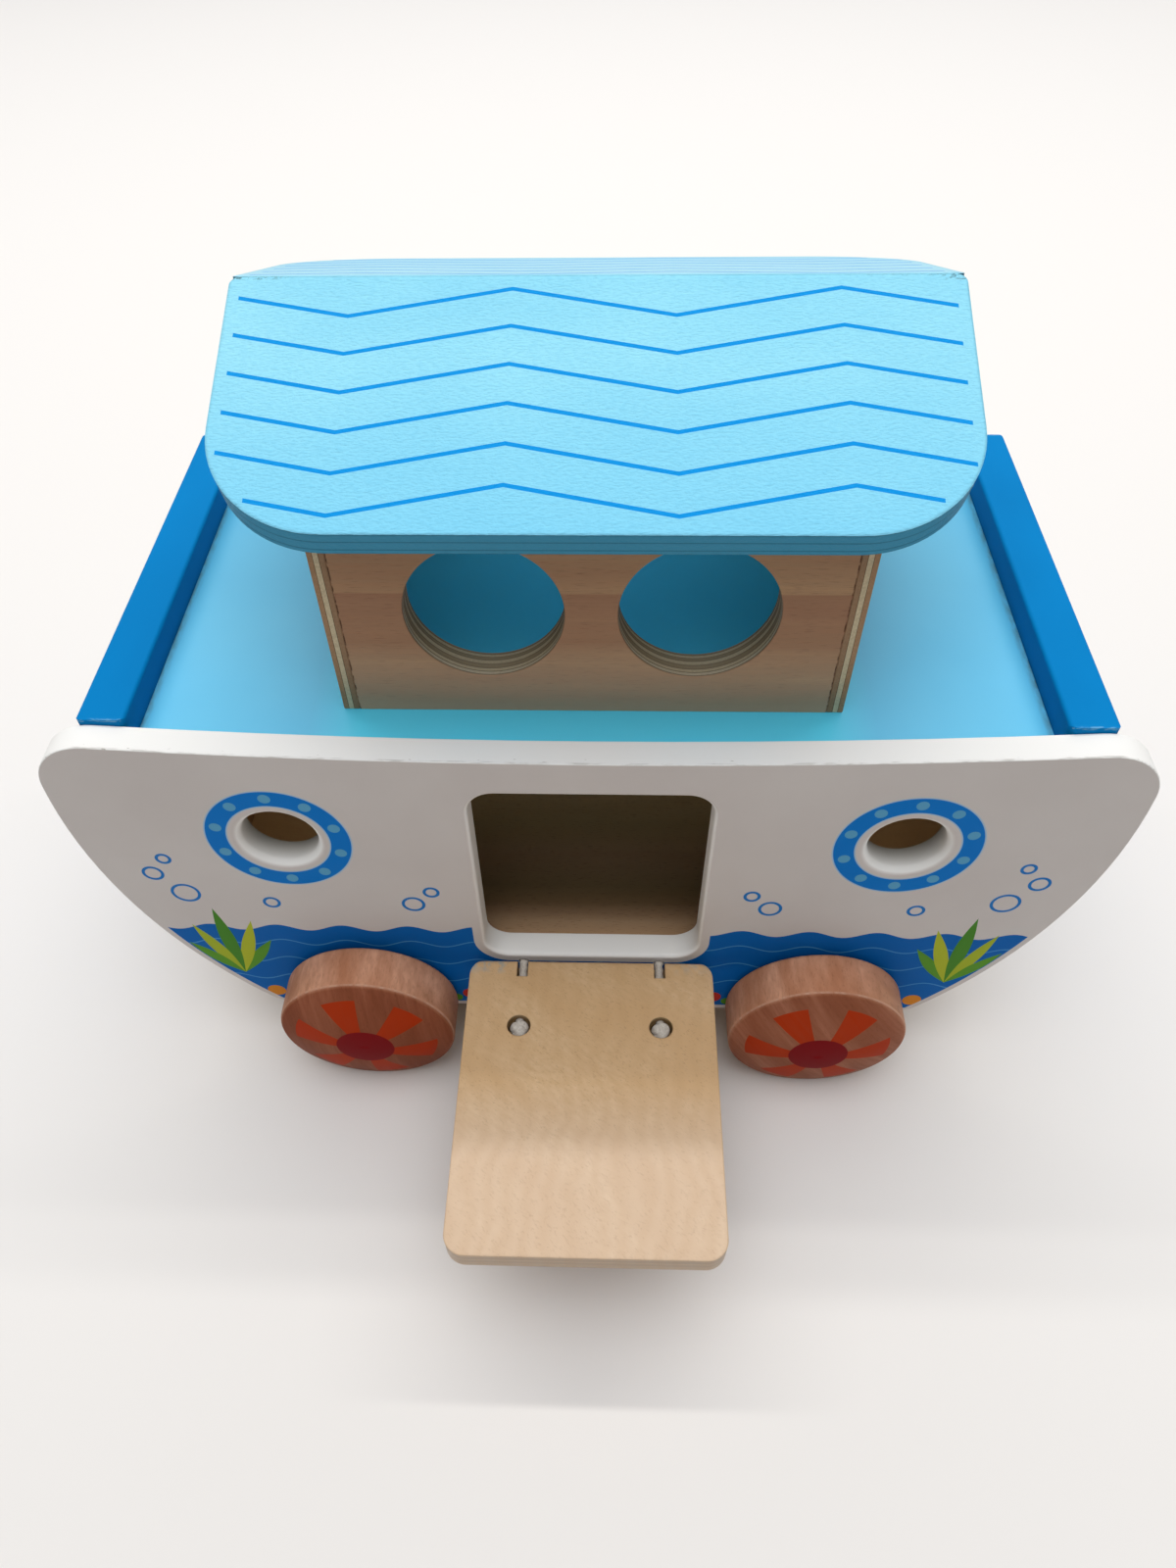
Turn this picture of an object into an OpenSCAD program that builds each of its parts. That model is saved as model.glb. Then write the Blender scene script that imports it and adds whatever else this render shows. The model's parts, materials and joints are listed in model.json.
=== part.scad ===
// Wooden toy ark on wheels, with a gabled deck cabin and a boarding ramp hung on cords.
// X runs along the hull, -Y is the side with the door, +Z is up, and the floor under the wheels is z = 0.

/* [Hull] */
// Radius of the round hull outline
hull_r = 170; // [150:1:190]
// Height of the centre of that outline above the floor
hull_centre_z = 140; // [134:0.5:146]
// Height of the flat bottom edge of the side panels
keel_z = 23.5; // [19:0.5:29]
// Height of the straight top edge of the back panel, and of the front one's dished top edge at its middle
rail_z = 162.5; // [159:0.5:171]
// Dip of the front panel's top edge between its two ends
sheer = 5.5; // [3:0.5:9]
// Thickness of the side panels
side_t = 10; // [8:0.5:14]
// Width of the hold between the side panels
hold_w = 159; // [140:1:180]
// Radius of the upper corners of the front panel
rail_corner_r = 18; // [10:1:22]
// Radius of the upper corners of the back panel, which ends flush with the end boards
back_corner_r = 4; // [2:0.5:10]
// Radius of the lower corners of the side panels
keel_corner_r = 10; // [5:1:20]

/* [Door and portholes] */
// Width of the door
door_w = 77.5; // [60:0.5:84]
// Height of the door
door_h = 88.5; // [70:0.5:92]
// Height of the door sill above the floor
sill_z = 60; // [57:0.5:65]
// Corner radius of the door
door_r = 9; // [4:0.5:14]
// Radius of the rounded rim of the door
door_ease = 1.6; // [0.8:0.2:2.4]
// Radius of a porthole
porthole_r = 12.5; // [8:0.5:15]
// Radius of the rounded rim of a porthole
porthole_ease = 3; // [1:0.25:4]
// Distance of each porthole from the middle of the hull
porthole_x = 101.5; // [85:0.5:110]
// Height of the portholes
porthole_z = 125.5; // [114:0.5:131]

/* [Boards] */
// Thickness of the end boards
end_t = 15; // [10:0.5:18]
// Distance of the outer faces of the end boards from the middle
end_x = 155.5; // [150:0.5:158]
// Height of the end boards above the top edge of the side panels
end_rise = 1.5; // [0:0.5:4]
// Radius of the upright corners of the end boards
end_corner_r = 2.2; // [1:0.2:4]
// Radius of the eased top edges of the end boards
end_ease = 1.2; // [0.6:0.2:2.4]
// How far the hull boards stay inside the outline of the side panels
board_inset = 2; // [1:0.5:4]
// Height of the deck above the floor
deck_z = 160; // [154:0.5:162]
// Thickness of the deck
deck_t = 6; // [4:0.5:9]
// How far the hold's floor lies below the door sill
floor_drop = 0.5; // [0:0.25:2]
// Thickness of the hold's floor
floor_t = 9; // [7:0.5:12]

/* [Cabin] */
// Length of the cabin over its end walls
cabin_l = 155.5; // [130:0.5:180]
// Width of the cabin from front to back
cabin_w = 128; // [110:1:140]
// Thickness of the long walls of the cabin, which have the windows
long_wall_t = 10.5; // [6:0.5:12]
// Thickness of the end walls of the cabin
end_wall_t = 5; // [3.5:0.5:7]
// Radius of the round windows
window_r = 23.2; // [15:0.1:26]
// Distance of each window from the middle of its wall
window_x = 30.8; // [28:0.1:40]
// Height of the windows' centres above the deck
window_up = 37.5; // [34:0.5:42]

/* [Roof] */
// Length of the roof along the ridge
roof_l = 202; // [190:1:230]
// Length of each roof panel from ridge to eave
roof_slope = 84; // [76:0.5:92]
// Pitch of the roof
roof_pitch = 19.5; // [14:0.5:25]
// Thickness of the roof panels
roof_t = 8; // [5:0.5:10]
// Height of the ridge above the floor
ridge_z = 262.5; // [254:0.5:274]
// Radius of the large lower corners of a roof panel
eave_corner_r = 33; // [10:1:40]
// Radius of the corners at the ridge
ridge_corner_r = 3; // [1:0.5:8]

/* [Ramp] */
// Width of the ramp
ramp_w = 89; // [80:0.5:100]
// Length of the ramp
ramp_l = 109; // [95:0.5:112]
// Thickness of the ramp
ramp_t = 8.5; // [7:0.5:10]
// Corner radius of the ramp
ramp_corner_r = 7; // [4:0.5:12]
// Radius of the rounded upper edge at the hinge
ramp_nose_r = 2.5; // [2:0.25:3]
// How far the top of the lowered ramp lies below the door sill
ramp_step = 1; // [0.5:0.25:2]
// Distance of each cord from the middle of the ramp
cord_x = 25.2; // [18:0.2:32]
// Thickness of the cords
cord_d = 3.6; // [3:0.2:4]
// Length of the open slot that each cord lies in
slot_l = 7.5; // [6:0.5:12]
// Radius of the round pockets that hold the knots
pocket_r = 4.2; // [3.8:0.1:6]
// Distance of the pockets from the hinge end of the ramp
pocket_in = 28; // [20:0.5:40]
// Depth of the pockets
pocket_depth = 7; // [6:0.25:8]
// Depth that each cord is glued into the edge of the hold's floor
cord_grip = 14; // [8:1:25]

/* [Wheels] */
// Radius of the wheels
wheel_r = 33; // [28:0.5:36]
// Width of the rolling face of a wheel with its rounded edges
wheel_w = 17; // [14:0.5:20]
// Height of the domed outer face
wheel_dome = 7.5; // [4:0.5:10]
// Radius of the shoulder between the rolling face and the dome
wheel_shoulder_r = 2; // [1.5:0.5:6]
// Radius of the inner edge of a wheel
wheel_edge_r = 2; // [1:0.5:4]
// Distance of each axle from the middle of the hull
axle_x = 85; // [75:0.5:95]
// Radius of the axle dowels
axle_r = 5; // [4:0.25:6]
// Depth of the blind hole that an axle is glued into
axle_grip = 12; // [8:0.5:14]

/* [Dowels] */
// Distance of the outer dowels of the hold's floor from the middle
floor_dowel_far = 120; // [100:1:130]
// Distance of the inner dowels of the hold's floor from the middle
floor_dowel_near = 60; // [45:1:75]
// Distance of the outer dowels of the deck from the middle
deck_dowel_far = 115; // [100:1:130]
// Distance of the inner dowels of the deck from the middle
deck_dowel_near = 50; // [35:1:75]
// Height of the upper dowels of the end boards
end_dowel_high = 139; // [125:1:150]
// Height of the lower dowels of the end boards
end_dowel_low = 94; // [80:1:110]
// Distance of the cabin's pins from the corners of the cabin
cabin_pin_in = 20; // [12:1:30]
// Radius of the dowels in the hold's floor and in the end boards
dowel_r = 2.5; // [2:0.25:3]
// Radius of the thin dowels in the deck and under the cabin walls
thin_dowel_r = 1.5; // [1:0.25:1.75]
// Depth of a dowel in a side panel
dowel_in_side = 6; // [4:0.5:7]
// Depth of a dowel in the edge of a board
dowel_in_board = 12; // [8:0.5:16]
// Depth of a thin dowel in the deck and in a cabin wall
pin_depth = 4; // [3:0.25:4]

/* [Clearances] */
// Radial running clearance of the axles in the side panels
axle_clearance = 0.08; // [0.02:0.01:0.1]
// Radial glue gap round dowels and axle ends
glue_gap = 0.05; // [0.02:0.01:0.1]
// Radial clearance of a cord in its hole
cord_clearance = 0.2; // [0.1:0.05:0.3]
// Gap between a wheel and the side panel
wheel_gap = 1.2; // [0.8:0.1:3]
// Gap between the closed ramp and the side panel
ramp_gap = 0.5; // [0.3:0.1:1]
// Least gap between the turning hinge end of the ramp and the side panel
nose_gap = 0.25; // [0.2:0.05:0.5]
// Gap between the two halves of a bent cord
bend_clearance = 0.1; // [0.05:0.05:0.3]

/* [Hidden] */
$fn = 96;
// Overlap that lets a cutting tool pass clear through a face
cut = 1;
// Facets of the very large circle of the top edge
sheer_fn = 720;
// How far a corner cut reaches past the sharp corner
corner_reach = 1.4;

half_in = hold_w / 2;
half_out = half_in + side_t;
hull_centre = [0, hull_centre_z];
// The top edge is part of a large circle through its two ends and its dip
rail_half = end_x;
sheer_r = (pow(rail_half, 2) + pow(sheer, 2)) / (2 * sheer);
sheer_centre = [0, rail_z + sheer_r];
end_z = rail_z + sheer + end_rise;
end_in = end_x - end_t;
floor_z = sill_z - floor_drop;
floor_mid = floor_z - floor_t / 2;
deck_mid = deck_z - deck_t / 2;

roof_drop = tan(roof_pitch);
under_ridge_z = ridge_z - roof_t / cos(roof_pitch);
cabin_in_w = cabin_w - 2 * long_wall_t;
window_z = deck_z + window_up;

// The ramp turns about its cords, which lie at half its thickness
ramp_z = sill_z - ramp_step;
hinge_z = ramp_z - ramp_t / 2;
hinge_y = -(half_out + ramp_gap + ramp_t / 2);
nose_swing = ramp_t / 2 + ramp_gap - nose_gap - ramp_nose_r;
nose_l = ramp_nose_r + sqrt(pow(nose_swing, 2) - pow(ramp_t / 2 - ramp_nose_r, 2));
ramp_y = hinge_y + nose_l;
cord_r = cord_d / 2;
cord_hole_r = cord_r + cord_clearance;
slot_depth = ramp_t / 2 + cord_hole_r;
knot_r = pocket_r - cord_clearance;
// The cord's two halves end this far from the hinge axis, so that they clear each other as it bends
bend_gap = cord_r + bend_clearance;

wheel_z = wheel_r;
wheel_y = half_out + wheel_gap;
dome_r = (pow(wheel_r, 2) + pow(wheel_dome, 2)) / (2 * wheel_dome);
dome_centre = [0, wheel_w + wheel_dome - dome_r];
axle_half = wheel_y + axle_grip;

// Places of the dowels along the boards
floor_dowel_x = [floor_dowel_near, floor_dowel_far];
deck_dowel_x = [deck_dowel_near, deck_dowel_far];
end_dowel_z = [end_dowel_low, end_dowel_high];
cabin_pin_x = cabin_l / 2 - cabin_pin_in;
cabin_pin_y = cabin_w / 2 - cabin_pin_in;
end_mid = end_x - end_t / 2;

natural = "burlywood";
white_paint = "whitesmoke";
pale_blue = "lightskyblue";
deep_blue = "royalblue";

// The point at a distance l from a on the way to b
function towards(a, b, l) = a + (b - a) * l / norm(b - a);

// A rounded corner is its centre and the two points where it touches the edges
function rail_corner() =
    let (
        r1 = hull_r - rail_corner_r,
        r2 = sheer_r + rail_corner_r,
        c1 = hull_centre.y,
        c2 = sheer_centre.y,
        z = (r1 * r1 - r2 * r2 + c2 * c2 - c1 * c1) / (2 * (c2 - c1)),
        p = [sqrt(r1 * r1 - pow(z - c1, 2)), z]
    )
    [p, towards(hull_centre, p, hull_r), towards(sheer_centre, p, sheer_r)];

function back_corner() =
    let (p = [end_x, rail_z] - [back_corner_r, back_corner_r])
    [p, [end_x, p.y], [p.x, rail_z]];

function keel_corner() =
    let (
        z = keel_z + keel_corner_r,
        x = sqrt(pow(hull_r - keel_corner_r, 2) - pow(z - hull_centre.y, 2)),
        p = [x, z]
    )
    [p, towards(hull_centre, p, hull_r), [x, keel_z]];

function shoulder_corner() =
    let (
        x = wheel_r - wheel_shoulder_r,
        p = [x, dome_centre.y + sqrt(pow(dome_r - wheel_shoulder_r, 2) - x * x)]
    )
    [p, [wheel_r, p.y], towards(dome_centre, p, dome_r)];

function edge_corner() =
    let (p = [wheel_r - wheel_edge_r, wheel_edge_r])
    [p, [wheel_r, p.y], [p.x, 0]];

// The sharp piece outside a rounded corner, which is cut off along the chord between its touching points
module sharp_corner(corner) {
    polygon([corner[1], corner[2], corner[0] + corner_reach * (corner[1] + corner[2] - 2 * corner[0])]);
}

// The disc that then rounds the corner
module round_corner(corner, r) {
    translate(corner[0]) circle(r);
}

// A flat board from y = 0 to y = l with its own corner radius at each end
module plate(w, l, r0, r1) {
    translate([-w / 2, r0]) square([w, l - r0 - r1]);
    translate([-w / 2 + r0, 0]) square([w - 2 * r0, l / 2]);
    translate([-w / 2 + r1, l / 2]) square([w - 2 * r1, l / 2]);
    for (side = [-1, 1]) {
        translate([side * (w / 2 - r0), r0]) circle(r0);
        translate([side * (w / 2 - r1), l - r1]) circle(r1);
    }
}

// Stands a flat drawing up: its y becomes z, and its thickness grows from y towards the front
module upright(y) {
    translate([0, y, 0]) rotate([90, 0, 0]) children();
}

// A round rod along Y, from y towards the front
module rod(x, z, y, r, l) {
    upright(y) translate([x, z, 0]) cylinder(r = r, h = l);
}

// Both ends of a piece that is the same at the left and at the right
module both_ends() {
    children();
    mirror([1, 0, 0]) children();
}

// Both sides of a piece that is the same at the front and at the back
module both_sides() {
    children();
    mirror([0, 1, 0]) children();
}

// The round outline with its flat bottom edge, no wider and no higher than given
module round_outline(half_w, top_z) {
    intersection() {
        translate(hull_centre) circle(hull_r, $fn = 2 * $fn);
        translate([-half_w, keel_z]) square([2 * half_w, top_z - keel_z]);
    }
}

// The front panel ends in the dished top edge, past the end boards
module front_outline() {
    difference() {
        round_outline(hull_r + cut, hull_centre_z + hull_r);
        translate(sheer_centre) circle(sheer_r, $fn = sheer_fn);
        both_ends() {
            sharp_corner(rail_corner());
            sharp_corner(keel_corner());
        }
    }
    both_ends() {
        round_corner(rail_corner(), rail_corner_r);
        round_corner(keel_corner(), keel_corner_r);
    }
}

// The back panel ends flush with the end boards and has a straight top edge
module back_outline() {
    difference() {
        round_outline(end_x, rail_z);
        both_ends() {
            sharp_corner(back_corner());
            sharp_corner(keel_corner());
        }
    }
    both_ends() {
        round_corner(back_corner(), back_corner_r);
        round_corner(keel_corner(), keel_corner_r);
    }
}

// The round hull inside the side panels, which trims the boards between them
module hull_trim(w) {
    upright(w / 2) translate(hull_centre) cylinder(r = hull_r - board_inset, h = w, $fn = 2 * $fn);
}

// The sharp piece outside a rounded edge, which faces x and y
module edge_profile(r) {
    difference() {
        square(r + cut);
        circle(r);
    }
}

// The same piece at the rim of a round hole, which faces the axis of the hole
module rim_profile(hole_r, r) {
    translate([hole_r + r, 0]) mirror([1, 0, 0]) edge_profile(r);
}

// A porthole through the front panel, with a rounded rim on the outside
module porthole_cut() {
    rod(porthole_x, porthole_z, -half_in + cut, porthole_r, side_t + 2 * cut);
    upright(-half_out + porthole_ease) translate([porthole_x, porthole_z, 0])
        rotate_extrude() rim_profile(porthole_r, porthole_ease);
}

// The door through the front panel, with a rounded rim on the outside
module door_cut() {
    half_w = door_w / 2 - door_r;
    upright(-half_in + cut) translate([0, sill_z, 0])
        linear_extrude(side_t + 2 * cut) plate(door_w, door_h, door_r, door_r);
    upright(-half_out + door_ease) translate([0, sill_z, 0]) {
        both_ends() {
            translate([door_w / 2 + door_ease, door_h - door_r, 0]) mirror([1, 0, 0]) rotate([90, 0, 0])
                linear_extrude(door_h - 2 * door_r) edge_profile(door_ease);
            translate([half_w, door_h - door_r, 0]) rotate_extrude(angle = 90) rim_profile(door_r, door_ease);
            translate([half_w, door_r, 0]) rotate([0, 0, -90])
                rotate_extrude(angle = 90) rim_profile(door_r, door_ease);
        }
        translate([-half_w, -door_ease, 0]) rotate([90, 0, 90])
            linear_extrude(2 * half_w) edge_profile(door_ease);
        translate([-half_w, door_h + door_ease, 0]) mirror([0, 1, 0]) rotate([90, 0, 90])
            linear_extrude(2 * half_w) edge_profile(door_ease);
    }
}

// A dowel from the edge of a board into the front panel, or, with a glue gap, its hole
module edge_dowel(x, z, r, gap) {
    rod(x, z, -half_in + dowel_in_board + gap, r + gap, dowel_in_board + dowel_in_side + 2 * gap);
}

module floor_dowel_rods(gap) {
    both_ends() for (x = floor_dowel_x) edge_dowel(x, floor_mid, dowel_r, gap);
}

module deck_dowel_rods(gap) {
    both_ends() for (x = deck_dowel_x) edge_dowel(x, deck_mid, thin_dowel_r, gap);
}

module end_dowel_rods(gap) {
    both_ends() for (z = end_dowel_z) edge_dowel(end_mid, z, dowel_r, gap);
}

// Upright pins between the deck and the cabin walls, two in each wall
module cabin_pin_rods(gap) {
    long_wall = [cabin_pin_x, (cabin_w - long_wall_t) / 2];
    end_wall = [(cabin_l - end_wall_t) / 2, cabin_pin_y];
    both_sides() both_ends() for (place = [long_wall, end_wall]) {
        translate([place.x, place.y, deck_z - pin_depth - gap])
            cylinder(r = thin_dowel_r + gap, h = 2 * (pin_depth + gap));
    }
}

// A side panel at the front of the hull, cut from an outline, with all the holes that both panels have
module side_panel() {
    difference() {
        upright(-half_in) linear_extrude(side_t) children();
        both_ends() {
            porthole_cut();
            rod(axle_x, wheel_z, -half_in + cut, axle_r + axle_clearance, side_t + 2 * cut);
        }
        floor_dowel_rods(glue_gap);
        deck_dowel_rods(glue_gap);
        end_dowel_rods(glue_gap);
    }
}

module front_side_panel() {
    color(white_paint) difference() {
        side_panel() front_outline();
        door_cut();
        both_ends() rod(cord_x, hinge_z, -half_in + cut, cord_hole_r, side_t + 2 * cut);
    }
}

module back_side_panel() {
    color(white_paint) mirror([0, 1, 0]) side_panel() back_outline();
}

// An end board that stands on the hold's floor, trimmed to the round hull, with eased top edges
module right_end_board() {
    h = end_z - floor_z;
    color(deep_blue) difference() {
        intersection() {
            translate([end_mid, -half_in, floor_z])
                linear_extrude(h) plate(end_t, hold_w, end_corner_r, end_corner_r);
            upright(half_in) translate([end_mid, floor_z - 2 * end_ease])
                linear_extrude(hold_w) plate(end_t, h + 2 * end_ease, end_ease, end_ease);
            hull_trim(hold_w);
        }
        both_sides() end_dowel_rods(glue_gap);
    }
}

module left_end_board() {
    mirror([1, 0, 0]) right_end_board();
}

module deck_board() {
    color(pale_blue) difference() {
        translate([-end_in, -half_in, deck_z - deck_t]) cube([2 * end_in, hold_w, deck_t]);
        both_sides() deck_dowel_rods(glue_gap);
        cabin_pin_rods(glue_gap);
    }
}

module hold_floor() {
    color(natural) difference() {
        intersection() {
            translate([-hull_r, -half_in, floor_z - floor_t]) cube([2 * hull_r, hold_w, floor_t]);
            hull_trim(hold_w);
        }
        both_sides() floor_dowel_rods(glue_gap);
        both_ends() rod(cord_x, hinge_z, -half_in + cord_grip, cord_hole_r, cord_grip + cut);
    }
}

// The long wall at the front of the cabin, with its top edge sloped to the roof
module cabin_front_wall() {
    inner = cabin_in_w / 2;
    outer = cabin_w / 2;
    half_l = cabin_l / 2 - end_wall_t;
    color(natural) difference() {
        translate([-half_l, 0, 0]) rotate([90, 0, 90]) linear_extrude(2 * half_l) polygon([
            [-outer, deck_z],
            [-inner, deck_z],
            [-inner, under_ridge_z - inner * roof_drop],
            [-outer, under_ridge_z - outer * roof_drop]
        ]);
        both_ends() rod(window_x, window_z, -inner + cut, window_r, long_wall_t + 2 * cut);
        cabin_pin_rods(glue_gap);
    }
}

module cabin_back_wall() {
    mirror([0, 1, 0]) cabin_front_wall();
}

// The gabled wall at the right end, which covers the ends of the long walls
module cabin_right_wall() {
    outer = cabin_w / 2;
    eave_z = under_ridge_z - outer * roof_drop;
    color(natural) difference() {
        translate([cabin_l / 2 - end_wall_t, 0, 0]) rotate([90, 0, 90]) linear_extrude(end_wall_t) polygon([
            [-outer, deck_z], [outer, deck_z], [outer, eave_z], [0, under_ridge_z], [-outer, eave_z]
        ]);
        cabin_pin_rods(glue_gap);
    }
}

module cabin_left_wall() {
    mirror([1, 0, 0]) cabin_right_wall();
}

// A roof panel with large round lower corners, mitred on the ridge
module roof_front_panel() {
    past_ridge = roof_t * roof_drop + cut;
    color(pale_blue) difference() {
        translate([0, 0, ridge_z]) rotate([roof_pitch, 0, 0]) mirror([0, 1, 0]) translate([0, 0, -roof_t]) {
            linear_extrude(roof_t) plate(roof_l, roof_slope, ridge_corner_r, eave_corner_r);
            translate([-roof_l / 2 + ridge_corner_r, -past_ridge, 0])
                cube([roof_l - 2 * ridge_corner_r, past_ridge + cut, roof_t]);
        }
        translate([-roof_l, 0, 0]) cube([2 * roof_l, roof_slope, 2 * ridge_z]);
    }
}

module roof_back_panel() {
    mirror([0, 1, 0]) roof_front_panel();
}

// The ramp as it lies when it is down
module boarding_ramp() {
    color(natural) difference() {
        translate([0, ramp_y, ramp_z - ramp_t]) mirror([0, 1, 0])
            linear_extrude(ramp_t) plate(ramp_w, ramp_l, ramp_corner_r, ramp_corner_r);
        // The rounded upper edge at the hinge
        translate([-ramp_w / 2 - cut, ramp_y - ramp_nose_r, ramp_z - ramp_nose_r]) rotate([90, 0, 90])
            linear_extrude(ramp_w + 2 * cut) edge_profile(ramp_nose_r);
        both_ends() translate([cord_x, ramp_y, ramp_z]) {
            translate([-cord_hole_r, -slot_l, -slot_depth])
                cube([2 * cord_hole_r, slot_l + cut, slot_depth + cut]);
            translate([0, -pocket_in, -pocket_depth]) cylinder(r = pocket_r, h = pocket_depth + cut);
            translate([0, -slot_l + cut, -ramp_t / 2]) rotate([90, 0, 0])
                cylinder(r = cord_hole_r, h = pocket_in - slot_l + cut);
        }
    }
}

// A cord from the knot in its pocket to the bend at the hinge
module right_ramp_cord() {
    knot_y = ramp_y - pocket_in;
    color("ivory") {
        rod(cord_x, hinge_z, hinge_y - bend_gap, cord_r, hinge_y - bend_gap - knot_y);
        translate([cord_x, knot_y, ramp_z - pocket_depth + knot_r + cord_clearance / 2]) sphere(knot_r);
    }
}

module left_ramp_cord() {
    mirror([1, 0, 0]) right_ramp_cord();
}

// The other half of the cord, through the side panel and into the edge of the hold's floor
module right_anchor_cord() {
    end_y = -half_in + cord_grip - cord_clearance;
    color("ivory") rod(cord_x, hinge_z, end_y, cord_r, end_y - hinge_y - bend_gap);
}

module left_anchor_cord() {
    mirror([1, 0, 0]) right_anchor_cord();
}

module right_axle() {
    color(natural) rod(axle_x, wheel_z, axle_half, axle_r, 2 * axle_half);
}

module left_axle() {
    mirror([1, 0, 0]) right_axle();
}

// A turned wheel with a domed face, a rounded shoulder and a blind hole for the axle
module wheel() {
    difference() {
        rotate_extrude() {
            difference() {
                intersection() {
                    square([wheel_r, wheel_w + wheel_dome]);
                    translate(dome_centre) circle(dome_r, $fn = 4 * $fn);
                }
                sharp_corner(shoulder_corner());
                sharp_corner(edge_corner());
            }
            round_corner(shoulder_corner(), wheel_shoulder_r);
            round_corner(edge_corner(), wheel_edge_r);
        }
        translate([0, 0, -cut]) cylinder(r = axle_r + glue_gap, h = axle_grip + glue_gap + cut);
    }
}

module front_right_wheel() {
    color("peru") upright(-wheel_y) translate([axle_x, wheel_z, 0]) wheel();
}

module front_left_wheel() {
    mirror([1, 0, 0]) front_right_wheel();
}

module back_right_wheel() {
    mirror([0, 1, 0]) front_right_wheel();
}

module back_left_wheel() {
    mirror([1, 0, 0]) back_right_wheel();
}

module floor_dowels() {
    color(natural) both_sides() floor_dowel_rods(0);
}

module deck_dowels() {
    color(natural) both_sides() deck_dowel_rods(0);
}

module end_board_dowels() {
    color(natural) both_sides() end_dowel_rods(0);
}

module cabin_pins() {
    color(natural) cabin_pin_rods(0);
}

front_side_panel();
back_side_panel();
left_end_board();
right_end_board();
deck_board();
hold_floor();
cabin_front_wall();
cabin_back_wall();
cabin_left_wall();
cabin_right_wall();
roof_front_panel();
roof_back_panel();
boarding_ramp();
left_ramp_cord();
right_ramp_cord();
left_anchor_cord();
right_anchor_cord();
left_axle();
right_axle();
front_left_wheel();
front_right_wheel();
back_left_wheel();
back_right_wheel();
floor_dowels();
deck_dowels();
end_board_dowels();
cabin_pins();
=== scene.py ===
# %% [markdown]
# # A wooden toy ark on wheels
# The imported model brings every board, wheel, axle and dowel at its real size, in metres, with +Z up and the
# door on the -Y side. This lesson gives each piece its finish: paint, print, bare plywood, turned beech and
# cotton cord. The solids stay where they are, and the knots added here ride on the ramp.

# %% Load the frame
import json
import math
import bmesh
import bpy
from mathutils import Matrix, Vector


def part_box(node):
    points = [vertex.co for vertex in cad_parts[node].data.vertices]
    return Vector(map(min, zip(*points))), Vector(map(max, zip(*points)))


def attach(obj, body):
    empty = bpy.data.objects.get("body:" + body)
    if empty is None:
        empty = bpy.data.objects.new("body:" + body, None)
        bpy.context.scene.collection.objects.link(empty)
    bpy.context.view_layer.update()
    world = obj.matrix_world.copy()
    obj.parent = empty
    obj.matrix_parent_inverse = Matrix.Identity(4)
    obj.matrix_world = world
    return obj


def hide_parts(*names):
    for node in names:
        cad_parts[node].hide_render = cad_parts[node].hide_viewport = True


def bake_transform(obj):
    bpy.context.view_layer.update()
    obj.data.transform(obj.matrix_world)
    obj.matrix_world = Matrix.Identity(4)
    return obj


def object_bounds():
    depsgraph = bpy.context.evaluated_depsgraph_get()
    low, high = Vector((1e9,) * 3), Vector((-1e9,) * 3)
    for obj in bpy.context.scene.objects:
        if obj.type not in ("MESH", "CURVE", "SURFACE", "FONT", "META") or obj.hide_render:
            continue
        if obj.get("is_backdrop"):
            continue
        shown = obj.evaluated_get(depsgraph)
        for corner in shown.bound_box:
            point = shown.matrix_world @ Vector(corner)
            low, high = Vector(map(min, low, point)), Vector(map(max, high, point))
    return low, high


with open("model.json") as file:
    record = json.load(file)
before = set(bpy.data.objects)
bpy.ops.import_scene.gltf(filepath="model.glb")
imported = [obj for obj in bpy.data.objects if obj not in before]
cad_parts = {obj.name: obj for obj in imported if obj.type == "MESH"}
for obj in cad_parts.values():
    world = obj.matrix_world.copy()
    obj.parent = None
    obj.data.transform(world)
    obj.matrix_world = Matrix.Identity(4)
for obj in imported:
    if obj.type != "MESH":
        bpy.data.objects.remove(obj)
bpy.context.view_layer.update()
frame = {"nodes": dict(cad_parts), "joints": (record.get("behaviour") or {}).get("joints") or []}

MM = 0.001

# %% [markdown]
# ## Camera
# The photograph was taken from close by and from above, so the roof looks large and the wheels small. Such a
# view can be guessed by eye, but solving it is surer: the portholes, the door, the ramp and the roof lines
# have known places on the model, and the place, tilt and focal length below put them all on their pixels.

# %% Camera
IMAGE_W, IMAGE_H = 1200, 1600
FOCAL_PX = 1093.8
OPTICAL_CENTRE_PX = (584.5, 876.5)
CAMERA_MM = Vector((4.9, -307.7, 393.8))
YAW, PITCH, ROLL = (math.radians(a) for a in (-2.825, 51.658, 1.53))
SENSOR_MM = 36
NEAREST_M = 0.01

forward = Vector((math.sin(YAW) * math.cos(PITCH), math.cos(YAW) * math.cos(PITCH), -math.sin(PITCH)))
level = Vector((math.cos(YAW), -math.sin(YAW), 0))
down = forward.cross(level)
image_right = level * math.cos(ROLL) + down * math.sin(ROLL)
image_down = down * math.cos(ROLL) - level * math.sin(ROLL)
turn = Matrix((image_right, -image_down, -forward)).transposed().to_4x4()
camera = bpy.data.objects.new("camera", bpy.data.cameras.new("camera"))
bpy.context.scene.collection.objects.link(camera)
camera.matrix_world = Matrix.Translation(CAMERA_MM * MM) @ turn
camera.data.sensor_width = SENSOR_MM
camera.data.lens = FOCAL_PX * SENSOR_MM / IMAGE_H
camera.data.shift_x = (IMAGE_W / 2 - OPTICAL_CENTRE_PX[0]) / IMAGE_H
camera.data.shift_y = (OPTICAL_CENTRE_PX[1] - IMAGE_H / 2) / IMAGE_H
camera.data.clip_start = NEAREST_M
bpy.context.scene.camera = camera
print("lens:", round(camera.data.lens, 2), "mm")

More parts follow.
